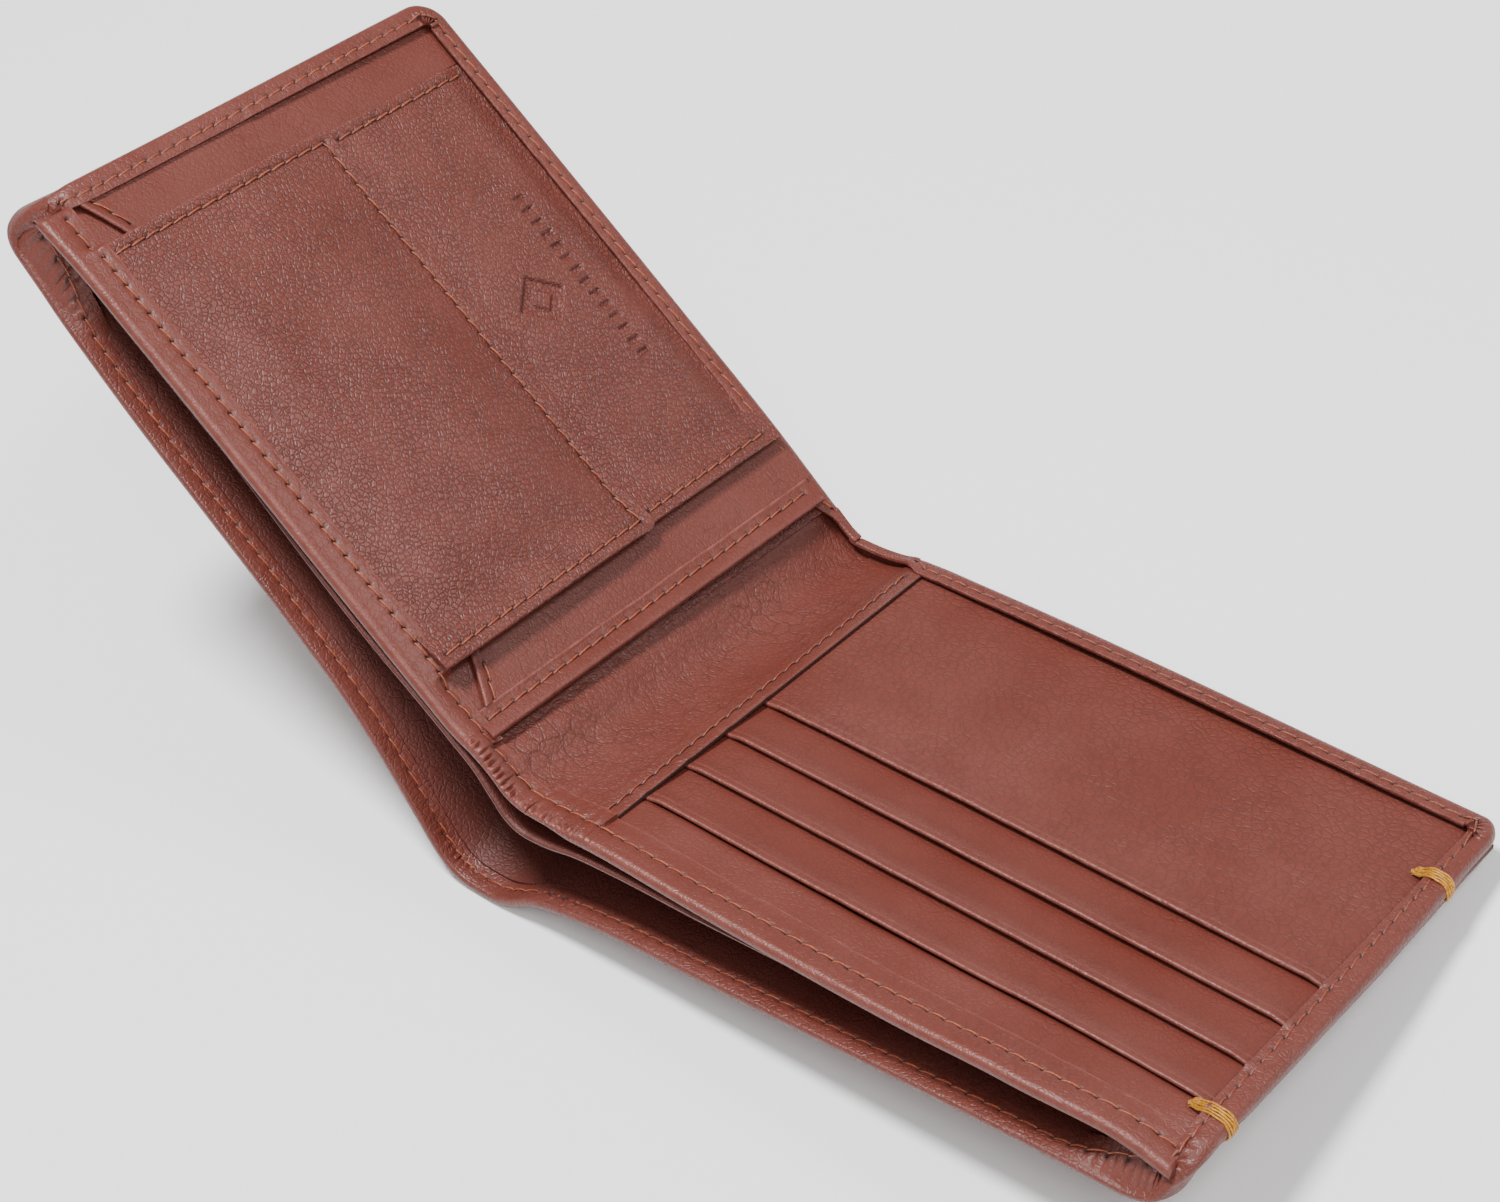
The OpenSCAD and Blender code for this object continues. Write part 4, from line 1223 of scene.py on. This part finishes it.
def make_band():
    seams = {"inner": BAND[0] + EDGE_SEAM, "outer": BAND[1] - EDGE_SEAM}
    left, right = seams.values()
    qs = merged(ticks(*BAND, 0.7, 0.5), seam_rows(left), seam_rows(right),
                ticks(MARK[0] - MARK_HALF, MARK[0] + MARK_HALF, 0.22), gap=0.03)
    ys = merged(hole_ticks(*BAND_SEWN), ticks(44, LAYER_BOTTOM, 0.7), ticks(56, 71.5, 0.22), gap=0.05)
    q, y = np.meshgrid(qs, ys, indexing="ij")
    seam = Seam(ys, *BAND_SEWN)
    edge = np.minimum(q - BAND[0], BAND[1] - q)
    soft = noise(q / 7, y / 11, 95) * 0.16 + creases(q / 6, y / 4.2, 96) * 0.03
    soft = soft + noise(q / 2.4, y / 2.4, 97) * 0.04
    swell = 0.28 * smooth(2.2, 9, edge) * smooth(51, 57, y) * (1 - smooth(72, 79, y))
    dips = seam.dip(y, q - left) + seam.dip(y, q - right)
    face = band_level(y) + soft * smooth(0, 5, edge) + swell + 0.10 * peak(edge - 1.0, 0.6)
    face = face - dips - mark_depth(q, y)
    lift = spine_side_lift(q)
    painted_shade = seam.painted_shade(y, q - left) + seam.painted_shade(y, q - right)
    # Lighter rounded edges: painted highlight, partly wear
    flat_sheet("band_leather", "pocket", q, y, face - roll(edge, 0.42) + lift,
               0.35 + roll(edge, 0.3) + lift, "panel_leather",
               "cover_band", 0.22 * peak(edge - 0.2, 0.3), painted_shade)
    for label, at in seams.items():
        holes = pocket.put(at, seam.holes, band_level(seam.holes) + 0.02 + spine_side_lift(at))
        sew(f"stitches_band_{label}", holes, "pocket", "seam_band")


def patch_level(y):
    """Height of the patch's face beside its edge"""
    return mix(*PATCH_LEVEL, smooth(40, PATCH_END - 1, y))


def make_patch():
    """The raised patch on the band, with two round corners, crowned in the middle"""
    left, right, far = PATCH[0] + PATCH_SEAM, PATCH[1] - PATCH_SEAM, PATCH_END - PATCH_SEAM
    qs = merged(ticks(*PATCH, 0.8, 0.5), seam_rows(left), seam_rows(right), hole_ticks(left, right),
                gap=0.07)
    ys = merged(ticks(4.4, PATCH_END, 0.8, 0.5), hole_ticks(far - 15 * PITCH, far), seam_rows(far),
                gap=0.07)
    q, y = np.meshgrid(qs, ys, indexing="ij")
    corner = 1.6
    past = np.clip(y - (PATCH_END - corner), 0, corner)
    round_in = corner - np.sqrt(np.maximum(corner**2 - past**2, 0))
    middle = (PATCH[0] + PATCH[1]) / 2
    share = (q - middle) / (PATCH[1] - middle)
    q_placed = middle + share * (PATCH[1] - middle - round_in)
    side_edge = np.minimum(q - PATCH[0], PATCH[1] - q)
    edge = np.minimum(side_edge, PATCH_END - y)
    sides = Seam(ys, 6.2, far)
    low_line = Seam(qs, left, right)
    crown = 1.3 * smooth(1.8, 16, side_edge) * smooth(3.5, 17, y) * (1 - smooth(33, 48.5, y))
    soft = noise(q / 12, y / 12, 101) * 0.16 + noise(q / 2.6, y / 2.6, 102) * 0.05
    face = patch_level(y) + crown + soft * smooth(0, 6, edge) + 0.12 * peak(side_edge - 1.0, 0.6)
    dips = (sides.dip(y, q - left) + sides.dip(y, q - right)) * (1 - smooth(far + 0.3, far + 0.8, y))
    face = face - (dips + low_line.dip(q, y - far))
    lift = spine_side_lift(q)
    painted_shade = sides.painted_shade(y, q - left) + sides.painted_shade(y, q - right) + low_line.painted_shade(q, y - far)
    # Lighter rounded edges: painted highlight, partly wear
    flat_sheet("patch_leather", "pocket", q_placed, y, face - roll(edge, 0.40) + lift,
               1.1 + roll(side_edge, 0.2) + lift, "panel_leather",
               "patch_pocket", 0.25 * peak(edge - 0.2, 0.3), np.minimum(painted_shade, 1))
    lines = {
        "inner": (left, sides.holes, patch_level(sides.holes)),
        "outer": (right, sides.holes, patch_level(sides.holes)),
        "middle": (low_line.holes, far, PATCH_LEVEL[1] + 0.02),
    }
    for label, (at_q, at_y, face_z) in lines.items():
        holes = pocket.put(at_q, at_y, face_z + spine_side_lift(at_q))
        sew(f"stitches_patch_{label}", holes, "pocket", "seam_patch")


make_pocket_panel()
make_slip()
make_notch()
make_band()
make_patch()


# ---- bar tacks ---------------------------------------------------------------------------------

def make_tack(number, at):
    """Satin stitches of gold thread, laid side by side over the outer edge"""
    # From the knot over the border, round the end wall and under it: q inward from the end, and z
    path = np.array([(7.6, 0.05), (7.2, 0.45), (6.4, 0.62), (5.6, 0.95), (4.6, 1.16), (3.0, 1.22),
                     (1.7, 1.10), (0.7, 0.72), (0.05, -0.05), (-0.18, -1.2), (-0.2, -2.4),
                     (0.05, -3.7), (0.9, -4.9), (1.9, -5.42), (2.4, -5.2)])
    length = np.concatenate([[0], np.cumsum(np.hypot(*np.diff(path, axis=0).T))])
    s = np.linspace(0, length[-1], 46)
    inward, z = [profile(np.stack([length, column], -1))(s) for column in path.T]
    border_rise = (FAR_TOP["card"](LENGTH) - BORDER_FACE) * smooth(20, HEIGHT - 5, at)
    z = z + border_rise * (1 - smooth(5.4, 6.6, inward)) * smooth(-2, 0.4, z)
    strand = np.arange(5)[:, None]
    offset = strand / (len(strand) - 1) - 0.5
    wide, thread_radius = 1.8, 0.175
    pinch = mix(0.75, 1.0, smooth(0, 1.6, s))
    y = at + offset * wide * pinch - 0.04 * s
    y = y + 0.03 * np.sin(s * 2.1 + strand * 1.9)
    stagger = 0.22 * np.sin(strand * 2.7) * (1 - smooth(0, 3, s))
    crown = 0.14 * (1 - (2 * offset) ** 2)
    along_edge = np.stack([np.gradient(inward), np.gradient(z)], -1)
    along_edge /= np.linalg.norm(along_edge, axis=-1, keepdims=True)
    q = LENGTH - inward + crown * np.abs(along_edge[:, 1]) + stagger
    lines = card.put(q, y, z + crown * np.maximum(0, along_edge[:, 0]))
    radius = np.broadcast_to(thread_radius * mix(0.6, 1, smooth(0, 0.6, s)), lines.shape[:2])
    ups = -np.gradient(z)[:, None] * card.x - np.gradient(inward)[:, None] * card.up
    ups /= np.linalg.norm(ups, axis=-1, keepdims=True)
    piece = tubes(f"tack_threads_{number}", lines, radius, ups[None], sides=8)
    finish_piece(piece, "gold_thread")
    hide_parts(f"bar_tack_{number}")
    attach(piece, "card_half")


def make_knot(number, at):
    """Three loops of thread at a tack's inner end"""
    t = np.linspace(0, 1, 60)
    lines = []
    for a, b, phase, turns in ((0.62, 0.5, 0.0, 2.0), (0.5, 0.72, 1.1, 3.0), (0.7, 0.42, 2.3, 2.0)):
        w = 2 * math.pi * t * turns + phase
        lines.append(card.put(LENGTH - 7.3 + a * np.cos(w) * 0.8, at + b * np.sin(w + phase),
                              0.42 + 0.16 * np.sin(2 * w + phase)))
    lines = np.array(lines)
    knot = tubes(f"tack_knot_{number}", lines, np.full(lines.shape[:2], 0.12), card.up)
    finish_piece(knot, "gold_thread")
    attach(knot, "card_half")


for tack_number, tack_at in enumerate(TACKS, 1):
    make_tack(tack_number, tack_at)
    make_knot(tack_number, tack_at)


# ---- floor, lights and camera ------------------------------------------------------------------

def plain(name, colour, rough):
    n = Nodes(name)
    shader = n.add("BsdfPrincipled", {"Base Color": colour, "Roughness": rough})
    n.add("OutputMaterial", {"Surface": shader.outputs[0]})
    return n.material


def make_floor(level_z):
    half = 2.0
    mesh = bpy.data.meshes.new("floor")
    corners = [(x, y, level_z) for x, y in ((-half, -half), (half, -half), (half, half), (-half, half))]
    mesh.from_pydata(corners, [], [(0, 1, 2, 3)])
    floor = bpy.data.objects.new("floor", mesh)
    floor.data.materials.append(plain("floor_white", (0.93, 0.93, 0.93, 1), 0.8))
    bpy.context.scene.collection.objects.link(floor)
    floor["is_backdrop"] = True


def direction(azimuth, elevation):
    """Unit vector towards an azimuth and an elevation in degrees"""
    a, e = math.radians(azimuth), math.radians(elevation)
    return Vector((math.sin(a) * math.cos(e), -math.cos(a) * math.cos(e), math.sin(e)))


def make_light(name, azimuth, elevation, distance, size, power, middle):
    lamp = bpy.data.lights.new(name, "AREA")
    lamp.shape = "DISK"
    lamp.size = size
    lamp.energy = power
    back = direction(azimuth, elevation)
    made = bpy.data.objects.new(name, lamp)
    made.location = middle + back * distance
    made.rotation_mode = "QUATERNION"
    made.rotation_quaternion = (-back).to_track_quat("-Z", "Y")
    bpy.context.scene.collection.objects.link(made)


def make_world(strength):
    world = bpy.data.worlds.new("studio")
    world.use_nodes = True
    world.node_tree.nodes["Background"].inputs["Color"].default_value = (1, 1, 1, 1)
    world.node_tree.nodes["Background"].inputs["Strength"].default_value = strength
    bpy.context.scene.world = world


def make_camera(azimuth, elevation, roll_angle, distance, target, lens):
    back = direction(azimuth, elevation)
    r = math.radians(roll_angle)
    level_right = (-back).cross(Vector((0, 0, 1))).normalized()
    level_above = back.cross(level_right)
    right = level_right * math.cos(r) + level_above * math.sin(r)
    above = level_above * math.cos(r) - level_right * math.sin(r)
    lens_data = bpy.data.cameras.new("camera")
    lens_data.sensor_width = 36
    lens_data.lens = lens
    made = bpy.data.objects.new("camera", lens_data)
    turn = Matrix((right, above, back)).transposed().to_4x4()
    made.matrix_world = Matrix.Translation(target + back * distance) @ turn
    bpy.context.scene.collection.objects.link(made)
    bpy.context.scene.camera = made


# Name, azimuth, elevation, distance, size and power
LIGHTS = (
    ("key", 290, 79, 1.0, 0.24, 17),
    ("sheen", 129, 51, 1.0, 0.26, 3.2),
    ("fill", 55, 50, 1.2, 0.7, 7),
)

make_floor(min(0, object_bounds()[0].z))
make_world(strength=0.36)
for light in LIGHTS:
    make_light(*light, middle=(cad_box[0] + cad_box[1]) / 2)
make_camera(azimuth=49.28, elevation=45.22, roll_angle=-13.46, distance=0.4569,
            target=Vector((0.01698, 0.00525, 0.03191)), lens=75.84)
